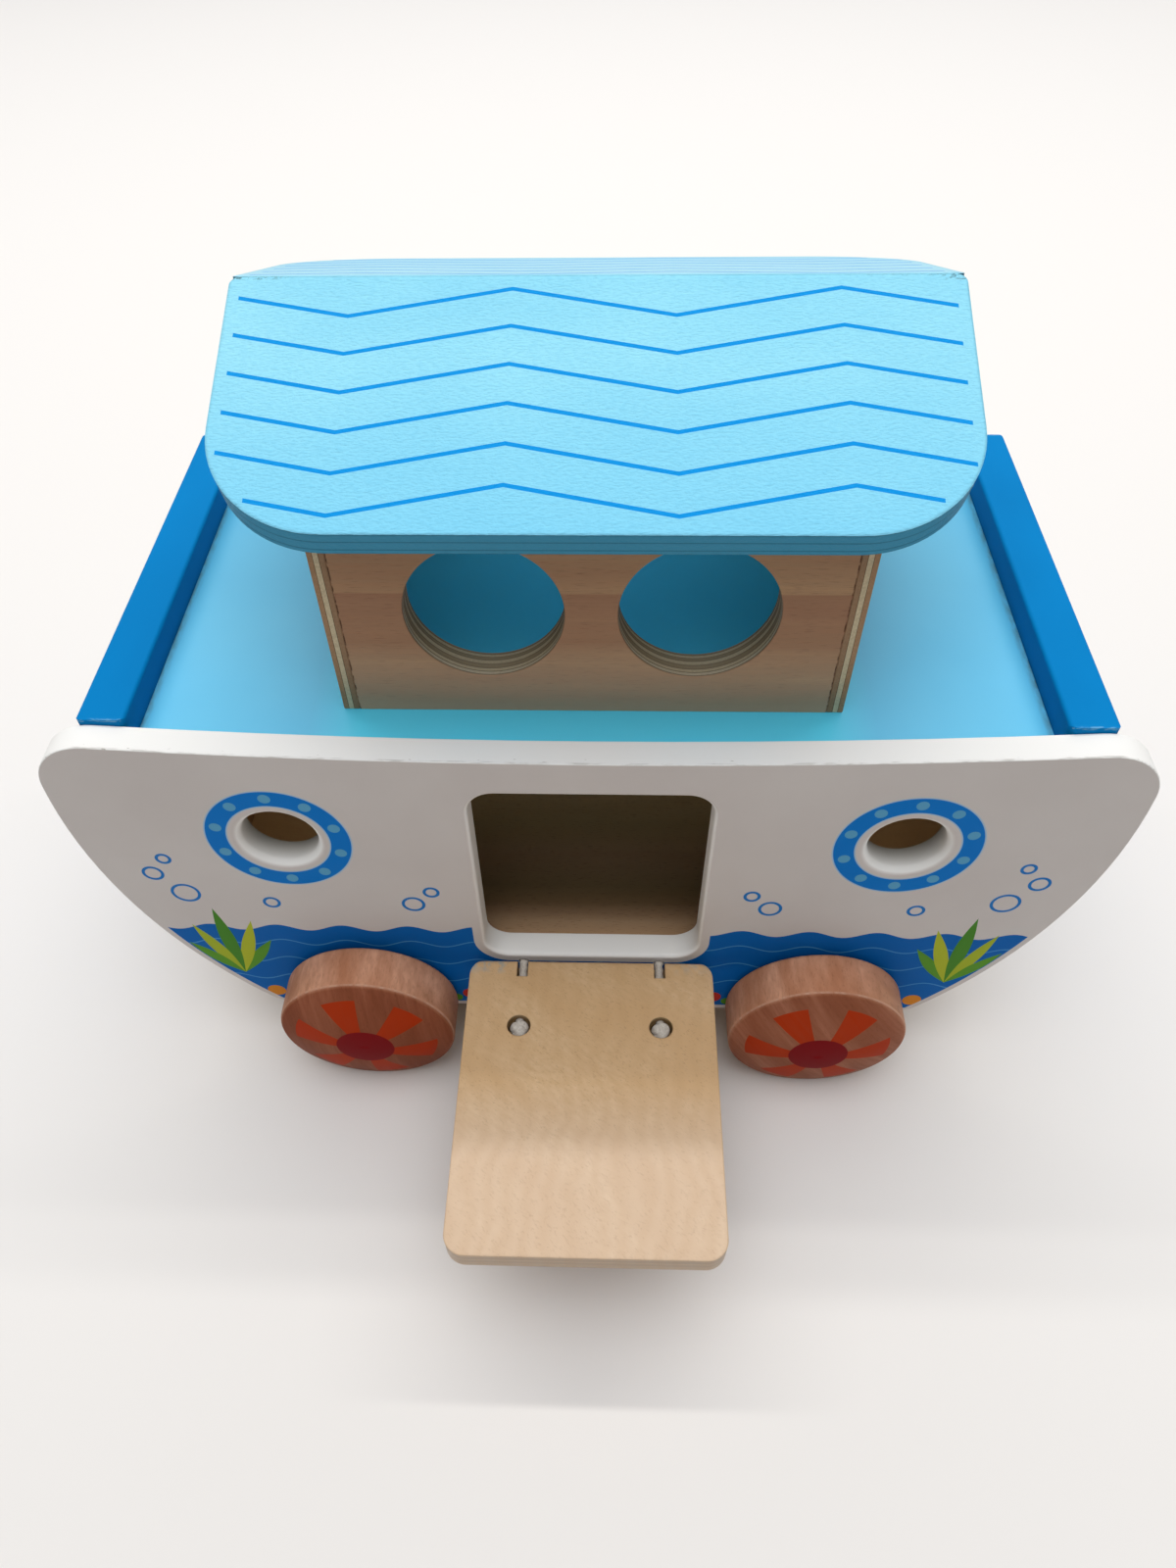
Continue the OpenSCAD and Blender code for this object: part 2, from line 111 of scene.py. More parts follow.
# %% [markdown]
# ## Helpers for colours and nodes
# Colours are written as sRGB hex values, as a paint chart gives them, and shaders want linear light. One
# function converts them, and a finish with many colours keeps them in a named set. Another function adds a
# shader node with its settings, and sets or links its inputs in order, or by name from a dict. A whole node
# stands for its first output in use. Node types and settings that come up often get a short name.

# %% Colour and node helpers
MATH = "ShaderNodeMath"
VECTOR = "ShaderNodeVectorMath"
RANGE = "ShaderNodeMapRange"
SPLIT = "ShaderNodeSeparateXYZ"
JOIN = "ShaderNodeCombineXYZ"
MIX = "ShaderNodeMix"
COLOUR = {"data_type": "RGBA"}
TIMES = {"operation": "MULTIPLY"}
ABS = {"operation": "ABSOLUTE"}
ABOVE = {"operation": "GREATER_THAN"}
BELOW = {"operation": "LESS_THAN"}


def paint(hex_code):
    """sRGB hex to linear red, green, blue and alpha."""
    channels = [int(hex_code[i:i + 2], 16) / 255 for i in (1, 3, 5)]
    return tuple(c / 12.92 if c <= 0.04045 else ((c + 0.055) / 1.055) ** 2.4 for c in channels) + (1,)


def paints(**hex_codes):
    """A set of named colours in linear light."""
    return {name: paint(hex_code) for name, hex_code in hex_codes.items()}


def add(tree, kind, *values, **settings):
    """Adds a node. Values go to its inputs in order, and a dict sets inputs by name."""
    node = tree.nodes.new(kind)
    for key, value in settings.items():
        setattr(node, key, value)
    open_inputs = [socket for socket in node.inputs if socket.enabled]
    for i, value in enumerate(values):
        named = value.items() if isinstance(value, dict) else [(i, value)]
        for key, given in named:
            socket = open_inputs[key] if isinstance(key, int) else node.inputs[key]
            if isinstance(given, bpy.types.Node):
                given = next(output for output in given.outputs if output.enabled)
            if isinstance(given, bpy.types.NodeSocket):
                tree.links.new(given, socket)
            else:
                socket.default_value = given
    return node


print("white paint in linear light:", [round(c, 3) for c in paint("#F2F0EC")])

# %% [markdown]
# ## Floor
# The toy stands on plain pale ground. A sheet of matt paper does that: it has no pattern and no mirror, and
# it sends soft light back up to the underside of the toy. It is stage, not part of the toy.

# %% Floor of matt paper
FLOOR_HALF_M = 4.0

floor_mesh = bpy.data.meshes.new("floor")
grid = bmesh.new()
bmesh.ops.create_grid(grid, x_segments=8, y_segments=8, size=FLOOR_HALF_M)
grid.to_mesh(floor_mesh)
grid.free()
floor = bpy.data.objects.new("floor", floor_mesh)
bpy.context.scene.collection.objects.link(floor)
floor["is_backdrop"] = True

# Matt paper scatters light evenly: the eye sees soft shadows, a touch warm, and no highlight
paper = bpy.data.materials.new("matt_paper")
paper.use_nodes = True
paper.node_tree.nodes.clear()
matt = add(paper.node_tree, "ShaderNodeBsdfPrincipled",
           {"Base Color": paint("#EBE8E5"), "Roughness": 0.95, "Specular IOR Level": 0.1})
add(paper.node_tree, "ShaderNodeOutputMaterial", matt)
floor_mesh.materials.append(paper)
print("floor:", 2 * FLOOR_HALF_M, "m wide")

# %% [markdown]
# ## Studio light
# The toy stood in a bright room with the light above and behind it: the roof, the deck and the top edges are
# bright, and the door side is lit only by what the ground sends back. A dome that is bright overhead and
# fades towards the horizon gives that soft light from any side. The camera sees the dome as a plain pale
# backdrop, whichever way it looks. Colours are shown as they are, with no film curve.

# %% Dome
DOME_TOP, DOME_LOW, DOME_FALL, DOME_LEAN = 3.35, 0.03, 7, math.radians(9)
BACKDROP = 0.78

world = bpy.data.worlds.new("studio_dome")
bpy.context.scene.world = world
world.use_nodes = True
dome = world.node_tree
dome.nodes.clear()
direction = add(dome, "ShaderNodeTexCoord").outputs["Generated"]
zenith = (0, -math.sin(DOME_LEAN), math.cos(DOME_LEAN))
height = add(dome, VECTOR, direction, zenith, operation="DOT_PRODUCT").outputs["Value"]
height = add(dome, MATH, height, 0.0, operation="MAXIMUM")
overhead = add(dome, MATH, height, DOME_FALL, operation="POWER")
strength = add(dome, MATH, overhead, DOME_TOP, DOME_LOW, operation="MULTIPLY_ADD")
seen = add(dome, "ShaderNodeLightPath").outputs["Is Camera Ray"]
shown = add(dome, MIX, seen, strength, BACKDROP)
add(dome, "ShaderNodeOutputWorld", add(dome, "ShaderNodeBackground", paint("#FCFDFF"), shown))
bpy.context.scene.view_settings.view_transform = "Standard"
print("dome is", round(DOME_TOP / DOME_LOW), "times brighter overhead than at the horizon")

# %% [markdown]
# Two lamps stand behind the toy. A long tube high up lays the roof's shadow across the ramp: as the tube runs
# along the hull, only shadow edges along the hull stay crisp. A bright window further off and lower gives the
# deck its sheen. Weak lamps inside, which shine up at the ceiling, stand for the light that finds its way
# into the cabin and the ends of the hold.

# %% Lamps
# Name, metres away, degrees high, length and width in metres, watts, colour
FAR_LAMPS = (
    ("tube_lamp", 1.6, 67, 2.6, 0.06, 12.0, "#FFFCF6"),
    ("far_window", 2.0, 36, 2.8, 0.9, 9.0, "#FFFFFF"),
)
# Name, place in millimetres, watts
FILLS = (
    ("cabin_fill", (0, 10, 222), 0.026),
    ("left_hold_fill", (-118, 10, 130), 0.0042),
    ("right_hold_fill", (118, 10, 130), 0.0042),
)
FILL_SIZE_M = 0.04


def lamp(name, place, away, long, wide, watts, hex_code):
    """An area lamp at place whose light leaves against the direction away."""
    light = bpy.data.lights.new(name, "AREA")
    light.shape = "RECTANGLE"
    light.size, light.size_y, light.energy, light.color = long, wide, watts, paint(hex_code)[:3]
    holder = bpy.data.objects.new(name, light)
    bpy.context.scene.collection.objects.link(holder)
    holder.location = place
    holder.rotation_mode = "QUATERNION"
    holder.rotation_quaternion = away.to_track_quat("Z", "Y")
    holder.visible_camera = False


middle = sum(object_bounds(), Vector()) / 2
for name, metres, degrees, long, wide, watts, hex_code in FAR_LAMPS:
    away = Vector((0, math.cos(math.radians(degrees)), math.sin(math.radians(degrees))))
    lamp(name, middle + away * metres, away, long, wide, watts, hex_code)
for name, place, watts in FILLS:
    lamp(name, Vector(place) * MM, Vector((0, 0, -1)), FILL_SIZE_M, FILL_SIZE_M, watts, "#FFFFFF")
print("lamps:", [row[0] for row in FAR_LAMPS + FILLS])

# %% [markdown]
# ## Eased edges
# Every board of a toy is sanded along its edges, so no edge is a sharp line: it catches a thin light. The
# solids have the large rounds already. Here a bevel of a few tenths of a millimetre is added by modifiers,
# after the seams of the imported faces are welded and flat faces are made whole.

# %% Ease the boards
EASED_MM = {
    "front_side_panel": 0.5, "back_side_panel": 0.5, "deck_board": 0.4, "hold_floor": 0.4,
    "cabin_front_wall": 0.35, "cabin_back_wall": 0.35, "cabin_left_wall": 0.35, "cabin_right_wall": 0.35,
}
WELD_MM, FLAT_DEG, EDGE_DEG, EASE_STEPS = 0.002, 0.2, 35, 3

for name, width in EASED_MM.items():
    board = frame["nodes"][name]
    weld = board.modifiers.new("weld_seams", "WELD")
    weld.merge_threshold = WELD_MM * MM
    whole = board.modifiers.new("whole_faces", "DECIMATE")
    whole.decimate_type = "DISSOLVE"
    whole.angle_limit = math.radians(FLAT_DEG)
    bevel = board.modifiers.new("eased_edges", "BEVEL")
    bevel.width = width * MM
    bevel.segments = EASE_STEPS
    bevel.limit_method = "ANGLE"
    bevel.angle_limit = math.radians(EDGE_DEG)
    bevel.use_clamp_overlap = False
    even = board.modifiers.new("even_shading", "WEIGHTED_NORMAL")
    even.keep_sharp = False
print("eased boards:", len(EASED_MM))

# %% [markdown]
# ## Starting and ending a finish
# Each finish begins in the same way: with the place on the piece in millimetres, which stays with the piece
# when it moves, and the direction that the surface faces. It ends in the same way too: with one shader that
# takes a colour, a roughness and a relief. Wood, paint and cotton all have an IOR near 1.5. Grain, clouds and
# chips are noise, stretched to the length, width and height of the real mark. Noise lies around 0.5, mostly
# between 0.3 and 0.7, so a range of it within those limits becomes the share of the next tone. A range that
# ends higher keeps that share low.

# %% Finish helpers
IOR = 1.5
SOFT, FIGURED = (0.3, 0.7), (0.35, 0.65)


def begin(name):
    """A new material, its node tree, the place in millimetres and the direction that the surface faces."""
    material = bpy.data.materials.new(name)
    material.use_nodes = True
    tree = material.node_tree
    tree.nodes.clear()
    where = add(tree, "ShaderNodeTexCoord")
    at = add(tree, VECTOR, where.outputs["Object"], 1 / MM, operation="SCALE")
    return material, tree, at, where.outputs["Normal"]


def end(tree, colour, roughness, relief, relief_mm, gloss, eased_mm=0, **sockets):
    """One shader for the finish. Where eased_mm is given, sharp edges look rounded by that much."""
    bump = add(tree, "ShaderNodeBump", {"Strength": 1.0, "Distance": relief_mm * MM, "Height": relief})
    if eased_mm:
        eased = add(tree, "ShaderNodeBevel", eased_mm * MM)
        tree.links.new(eased.outputs["Normal"], bump.inputs["Normal"])
    shader = add(tree, "ShaderNodeBsdfPrincipled", {
        "Base Color": colour, "Roughness": roughness, "Normal": bump, "IOR": IOR, "Specular IOR Level": gloss,
    })
    for key, value in sockets.items():
        shader.inputs[key.replace("_", " ")].default_value = value
    add(tree, "ShaderNodeOutputMaterial", shader)


def streaks(tree, at, size_mm, detail=3.0, seed=0.0):
    """Noise whose spots are as long, wide and high as size_mm says."""
    placed = add(tree, "ShaderNodeMapping", at, (seed, seed, seed), (0, 0, 0), [1 / s for s in size_mm])
    return add(tree, "ShaderNodeTexNoise", {"Vector": placed, "Scale": 1.0, "Detail": detail})


def dress(material, *names):
    """Gives the finish to whole pieces."""
    for name in names:
        for slot in frame["nodes"][name].material_slots:
            slot.material = material


print("finishes are measured in millimetres:", round(1 / MM), "to the metre")

# %% [markdown]
# ## Bare plywood
# The cabin walls, the ramp and the hold's floor are bare plywood, sanded and left dull. A face shows one
# sheet of veneer: slow changes of tone, grain that runs one way and fine pores. A cut edge, also the rim of a
# window, shows the plies: pale where the grain runs along the cut, dark where its ends face out, with thin
# lines of glue. One function draws them all: it asks whether the surface faces out of the sheet, then draws
# veneer or plies. The plies are listed from the inner face to the outer one, each with its share of the
# thickness. Real pores are a tenth of a millimetre wide or less. They are drawn several times as wide, so
# that they show.

# %% Plywood
GLUE_SHARE, PORE_SHARE, FACE_FROM = 0.03, 0.32, 0.7
FIBRE_MM, FIBRE_SHARE = 0.7, 0.5
PLY_RELIEF_MM = 0.05
LAST_MARK = 0.999


def plywood(name, sheet_axis, sheet_mm, plies, tones, figure_mm, grain_mm, pore_mm, grain_deg=0):
    """Begins a finish. Returns its material, node tree, place in millimetres, colour and relief."""
    material, tree, at, normal = begin(name)
    laid = add(tree, "ShaderNodeVectorRotate", at, (0, 0, 0), (0, 0, 1), math.radians(grain_deg))
    figure = add(tree, RANGE, streaks(tree, laid, figure_mm, detail=2.0, seed=3.0), *FIGURED)
    grain = streaks(tree, laid, grain_mm, detail=4.0)
    pores = add(tree, RANGE, streaks(tree, laid, pore_mm, detail=1.0, seed=9.0), 0.60, 0.74)
    veneer = add(tree, MIX, figure, tones["face"], tones["figure"], **COLOUR)
    veneer = add(tree, MIX, add(tree, RANGE, grain, 0.3, 0.75), veneer, tones["grain"], **COLOUR)
    pore_shade = add(tree, MATH, pores, PORE_SHARE, **TIMES)
    veneer = add(tree, MIX, pore_shade, veneer, tones["pore"], **COLOUR)

    depth = add(tree, MATH, add(tree, SPLIT, at).outputs[sheet_axis], **ABS)
    stack = add(tree, "ShaderNodeValToRGB", add(tree, RANGE, depth, *sheet_mm))
    stack.color_ramp.interpolation = "CONSTANT"
    marks = stack.color_ramp.elements
    reached = 0.0
    for share, tone in plies:
        mark = marks[0] if reached == 0 else marks.new(reached + GLUE_SHARE)
        mark.color = tones[tone]
        reached += share
        marks.new(min(reached, LAST_MARK)).color = tones["glue"]
    marks.remove(marks[-1])
    fibres = streaks(tree, at, (FIBRE_MM, FIBRE_MM, FIBRE_MM), detail=3.0, seed=2.0)
    fibres = add(tree, MATH, fibres, FIBRE_SHARE, **TIMES)
    edge = add(tree, MIX, fibres, stack, tones["glue"], **COLOUR)

    facing = add(tree, MATH, add(tree, SPLIT, normal).outputs[sheet_axis], **ABS)
    outside = add(tree, MATH, facing, FACE_FROM, **ABOVE)
    colour = add(tree, MIX, outside, edge, veneer, **COLOUR)
    relief = add(tree, MATH, grain, pores, operation="SUBTRACT")
    return material, tree, at, colour, relief


print("glue lines take", GLUE_SHARE, "of a sheet's thickness")

# %% [markdown]
# ## Cabin walls
# The long walls are thick sheets with two round windows, whose rims show all the plies. Their face is two
# strips of veneer, and the lower one is rosy under the seam. Towards the foot the wood is painted paler, as
# painted light against the shade where the wall meets the deck. Both follow the height, so they are mixed in
# by height. At the corners the joint with the end wall stands open here and there: a dark line, which noise
# along the joint breaks into dashes.

# %% Long walls
CABIN = paints(face="#BD956F", figure="#AD8060", grain="#AC8867", pore="#6B4A38",
               pale="#E8D6B0", core="#E2CCA0", end_grain="#A08A62", glue="#5E4834")
WINDOW_PLIES = (
    (0.07, "face"), (0.13, "core"), (0.12, "end_grain"), (0.17, "core"), (0.17, "end_grain"), (0.14, "core"),
    (0.13, "pale"), (0.07, "face"),
)
SEAM_Z, SEAM_MM, ROSY_DEEP, ROSY_SHARE = 205.0, 0.6, 32, 0.5
FOOT_FROM, FOOT_FULL, FOOT_SHARE = 17, 43, 0.55
JOINT_X, JOINT_FROM, JOINT_FULL, JOINT_SHARE = 72.75, 0.55, 0.3, 0.9

wall_y = [corner.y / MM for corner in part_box("cabin_back_wall")]
long_wall, tree, at, wood, relief = plywood(
    "long_wall_plywood", 1, wall_y, WINDOW_PLIES, CABIN,
    figure_mm=(200, 10, 9), grain_mm=(40, 2, 1.0), pore_mm=(5, 0.4, 0.3))
x, y, z = add(tree, SPLIT, at).outputs
under_seam = add(tree, RANGE, z, SEAM_Z, SEAM_Z - SEAM_MM)
rosy = add(tree, RANGE, z, SEAM_Z - ROSY_DEEP, SEAM_Z, 0.0, ROSY_SHARE)
rosy = add(tree, MATH, rosy, under_seam, **TIMES)
wood = add(tree, MIX, rosy, wood, paint("#8E5A48"), **COLOUR)
# Painted light: the wall is made paler towards its foot
pale_foot = add(tree, RANGE, z, SEAM_Z - FOOT_FROM, SEAM_Z - FOOT_FULL, 0.0, FOOT_SHARE)
wood = add(tree, MIX, pale_foot, wood, paint("#D2B398"), **COLOUR)
across = add(tree, MATH, x, **ABS)
at_joint = add(tree, RANGE, across, JOINT_X - JOINT_FROM, JOINT_X - JOINT_FULL, 0.0, JOINT_SHARE)
open_joint = add(tree, RANGE, streaks(tree, at, (9, 9, 3), detail=3.0, seed=4.0), 0.42, 0.56)
open_joint = add(tree, MATH, at_joint, open_joint, **TIMES)
wood = add(tree, MIX, open_joint, wood, paint("#4A2C18"), **COLOUR)
# Sanded veneer without lacquer: broad, weak highlights, so the eye reads the wood's own tone
end(tree, wood, roughness=0.6, relief=relief, relief_mm=PLY_RELIEF_MM, gloss=0.2)
dress(long_wall, "cabin_front_wall", "cabin_back_wall")
print("long walls are", round(wall_y[1] - wall_y[0], 1), "mm thick, with", len(WINDOW_PLIES), "plies")

# %% [markdown]
# The end walls are thin sheets of three plies that cover the ends of the long walls, so their cut edges make
# the stripes at the corners. They are the same wood, with the grain turned to run across.

# %% End walls
CORNER_PLIES = ((0.32, "grain"), (0.33, "pale"), (0.35, "face"))

wall_x = [corner.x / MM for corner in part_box("cabin_right_wall")]
end_wall, tree, at, wood, relief = plywood(
    "end_wall_plywood", 0, wall_x, CORNER_PLIES, CABIN,
    figure_mm=(10, 200, 9), grain_mm=(2, 40, 1.0), pore_mm=(0.4, 5, 0.3))
end(tree, wood, roughness=0.6, relief=relief, relief_mm=PLY_RELIEF_MM, gloss=0.2)
dress(end_wall, "cabin_left_wall", "cabin_right_wall")
print("end walls are", round(wall_x[1] - wall_x[0], 1), "mm thick, with", len(CORNER_PLIES), "plies")

# %% [markdown]
# ## Floor of the hold
# The floor is seen only through the door and the portholes, in deep shade. Its tones are painted light and
# shade: dark behind the door, pale along the sill, and paler and yellower towards the ends, where the
# portholes look in. Light alone does not make so steep a change, so the board carries it in its colour. A
# colour ramp from the middle of the hull to the sill holds the tones, and the wood is multiplied by them, so
# its grain stays.

# %% Hold floor
HOLD = dict(CABIN, **paints(face="#E6E2D8", figure="#DEDACE", grain="#DCD6C8"))
BIRCH_PLIES = (
    (0.15, "pale"), (0.17, "core"), (0.17, "end_grain"), (0.17, "core"), (0.17, "end_grain"), (0.17, "pale"),
)
FLOOR_WEAR = (
    (0.0, "#E0D6B8"), (0.31, "#AA9F80"), (0.5, "#94806A"), (0.71, "#6E6048"), (0.81, "#7A654C"),
    (0.87, "#9A8068"), (0.92, "#BA9E84"), (1.0, "#CAA88A"),
)
WEAR_LONG, SAPWOOD_FROM, SAPWOOD_FULL = 80.0, 75.0, 100.0

hold_z = [corner.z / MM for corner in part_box("hold_floor")]
hold_board, tree, at, wood, relief = plywood(
    "hold_plywood", 2, hold_z, BIRCH_PLIES, HOLD,
    figure_mm=(120, 40, 10), grain_mm=(60, 5, 2), pore_mm=(3, 0.4, 0.4))
x, y, z = add(tree, SPLIT, at).outputs
# Painted shade and light along the hull: dark behind the door, pale at the sill
worn = add(tree, "ShaderNodeValToRGB", add(tree, RANGE, y, 0.0, -WEAR_LONG))
for place, tone in FLOOR_WEAR[1:-1]:
    worn.color_ramp.elements.new(place)
for mark, (place, tone) in zip(worn.color_ramp.elements, FLOOR_WEAR):
    mark.position, mark.color = place, paint(tone)
wood = add(tree, MIX, 1.0, wood, worn, blend_type="MULTIPLY", **COLOUR)
# Painted light: paler and yellower towards the ends, where the portholes look in
sapwood = add(tree, RANGE, add(tree, MATH, x, **ABS), SAPWOOD_FROM, SAPWOOD_FULL)
wood = add(tree, MIX, sapwood, wood, paint("#E6C79A"), **COLOUR)
# Dusty bare wood: almost no highlight, which keeps the shade deep
end(tree, wood, roughness=0.6, relief=relief, relief_mm=PLY_RELIEF_MM, gloss=0.1)
dress(hold_board, "hold_floor")
print("hold floor is", round(hold_z[1] - hold_z[0], 1), "mm thick")

# %% [markdown]
# ## Boarding ramp
# The ramp is birch plywood, paler and calmer: cloudy figure, faint contours and tiny flecks. Its outer half
# is painted paler and pinker than the yellow hinge half, as painted sheen where the light falls on it. Peeled
# veneer has its contours because the knife crosses the year rings at a low angle, and a distorted wave
# texture draws just that. Where the hinge end rubs along the printed sea it has picked up a little blue, more
# at the left than at the right.

# %% Birch ramp with blue rubs
BIRCH = paints(face="#D9B88E", figure="#CFA97B", grain="#CDA87C", pore="#977048",
               pale="#BD9F72", core="#B99A6C", end_grain="#98784C", glue="#6E5638")
RUB_DEEP, RUB_FULL, RUB_FROM_X = 7.0, 2.0, 28.0
LEFT_MM, LEFT_SHARE, RIGHT_MM, RIGHT_SHARE = 3, 0.85, 6, 0.3
PINK_FROM, PINK_FULL, PINK_SHARE = 50, 75, 0.5
CONTOUR_MM, CONTOUR_SHARE = 7.0, 0.13
# At scale 1 Blender's wave texture repeats at this distance
WAVE_REPEAT = 2 * math.pi / 20

ramp_z = [corner.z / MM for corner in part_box("boarding_ramp")]
hinge_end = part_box("boarding_ramp")[1].y / MM
birch, tree, at, wood, relief = plywood(
    "birch_plywood", 2, ramp_z, BIRCH_PLIES, BIRCH,
    figure_mm=(30, 13, 13), grain_mm=(3.5, 1.5, 1.5), pore_mm=(1.1, 0.4, 0.4), grain_deg=40)
x, y, z = add(tree, SPLIT, at).outputs
# Painted sheen: the outer half is made paler and pinker
pink = add(tree, RANGE, y, hinge_end - PINK_FROM, hinge_end - PINK_FULL, 0.0, PINK_SHARE)
wood = add(tree, MIX, pink, wood, paint("#D8C2AE"), **COLOUR)
contours = add(tree, "ShaderNodeTexWave", {"Vector": at, "Scale": WAVE_REPEAT / CONTOUR_MM, "Distortion": 9.0,
                                           "Detail": 2.0, "Detail Scale": 0.8}, bands_direction="X")
contours = add(tree, MATH, contours, CONTOUR_SHARE, **TIMES)
wood = add(tree, MIX, contours, wood, paint("#B98E60"), **COLOUR)
near_hinge = add(tree, RANGE, y, hinge_end - RUB_DEEP, hinge_end - RUB_FULL)
to_left = add(tree, RANGE, x, -RUB_FROM_X, -RUB_FROM_X - LEFT_MM, 0.0, LEFT_SHARE)
to_right = add(tree, RANGE, x, RUB_FROM_X, RUB_FROM_X + RIGHT_MM, 0.0, RIGHT_SHARE)
rubs = add(tree, RANGE, streaks(tree, at, (2.4, 3.4, 3.4), detail=3.0, seed=8.0), 0.42, 0.64)
for limit in (add(tree, MATH, to_left, to_right, operation="MAXIMUM"), near_hinge):
    rubs = add(tree, MATH, rubs, limit, **TIMES)
wood = add(tree, MIX, rubs, wood, paint("#7FA2AE"), **COLOUR)
# Birch sanded fine: a soft sheen that lifts the far half where the light comes in low
end(tree, wood, roughness=0.4, relief=relief, relief_mm=PLY_RELIEF_MM, gloss=0.4, eased_mm=0.9)
dress(birch, "boarding_ramp")
print("ramp is", round(ramp_z[1] - ramp_z[0], 1), "mm thick")

# %% [markdown]
# ## Dowels
# Axles, dowels and pins are turned rods of pale hardwood with straight grain along their length. Most of
# them are hidden, but the axles show from below. Noise that is long along the rod and a millimetre across
# gives the grain. The pins stand upright, so theirs runs up.

# %% Dowel wood
LYING_RODS = ("left_axle", "right_axle", "floor_dowels", "deck_dowels", "end_board_dowels")
# Size of the grain along the hull, across it and upwards, and the rods that have it
RODS = {"dowel_wood": ((1.0, 40, 1.0), LYING_RODS), "pin_wood": ((1.0, 1.0, 20), ("cabin_pins",))}

for name, (grain_mm, rods) in RODS.items():
    rod_wood, tree, at, normal = begin(name)
    grain = streaks(tree, at, grain_mm)
    wood = add(tree, MIX, grain, paint("#D8B98E"), paint("#B8936A"), **COLOUR)
    # Bare turned wood: dull, with a faint light along the rod
    end(tree, wood, roughness=0.6, relief=grain, relief_mm=0.05, gloss=0.25)
    dress(rod_wood, *rods)
print("kinds of rod:", len(RODS))

# %% [markdown]
# ## Wheels
# The wheels are turned from beech: a warm pink-brown wood with short dark flecks, lightly lacquered. A sun is
# printed on each dome: six rays and a hub. Rays could be cut as thin pieces, but ink has no thickness that
# the eye sees, so they are drawn by the angle and the distance from the axle, which turn with the wheel. The
# flecks are drawn a little wider than real ones, so that they show.

# %% Beech wheels with printed suns
BEECH = paints(face="#D9A283", figure="#B77C5C", grain="#A97355", fleck="#7A5138", rubbed="#F4D4BE",
               ray="#AE3204", hub="#7E0A10")
HUB_R, RAY_R, RAYS, RAY_HALF = 10.9, 26.8, 6, math.radians(14.5)
# How square the surface stands to the axle: where the dome's painted shade starts and is full, the
# shoulder, the print
LACQUER_FROM, LACQUER_FULL, SHOULDER, SHOULDER_HALF, DOME_FROM = 0.3, 0.92, 0.45, 0.16, 0.5
FLECK_SHARE, INK_COVER, INK_LOSS = 0.25, 1.08, 0.25
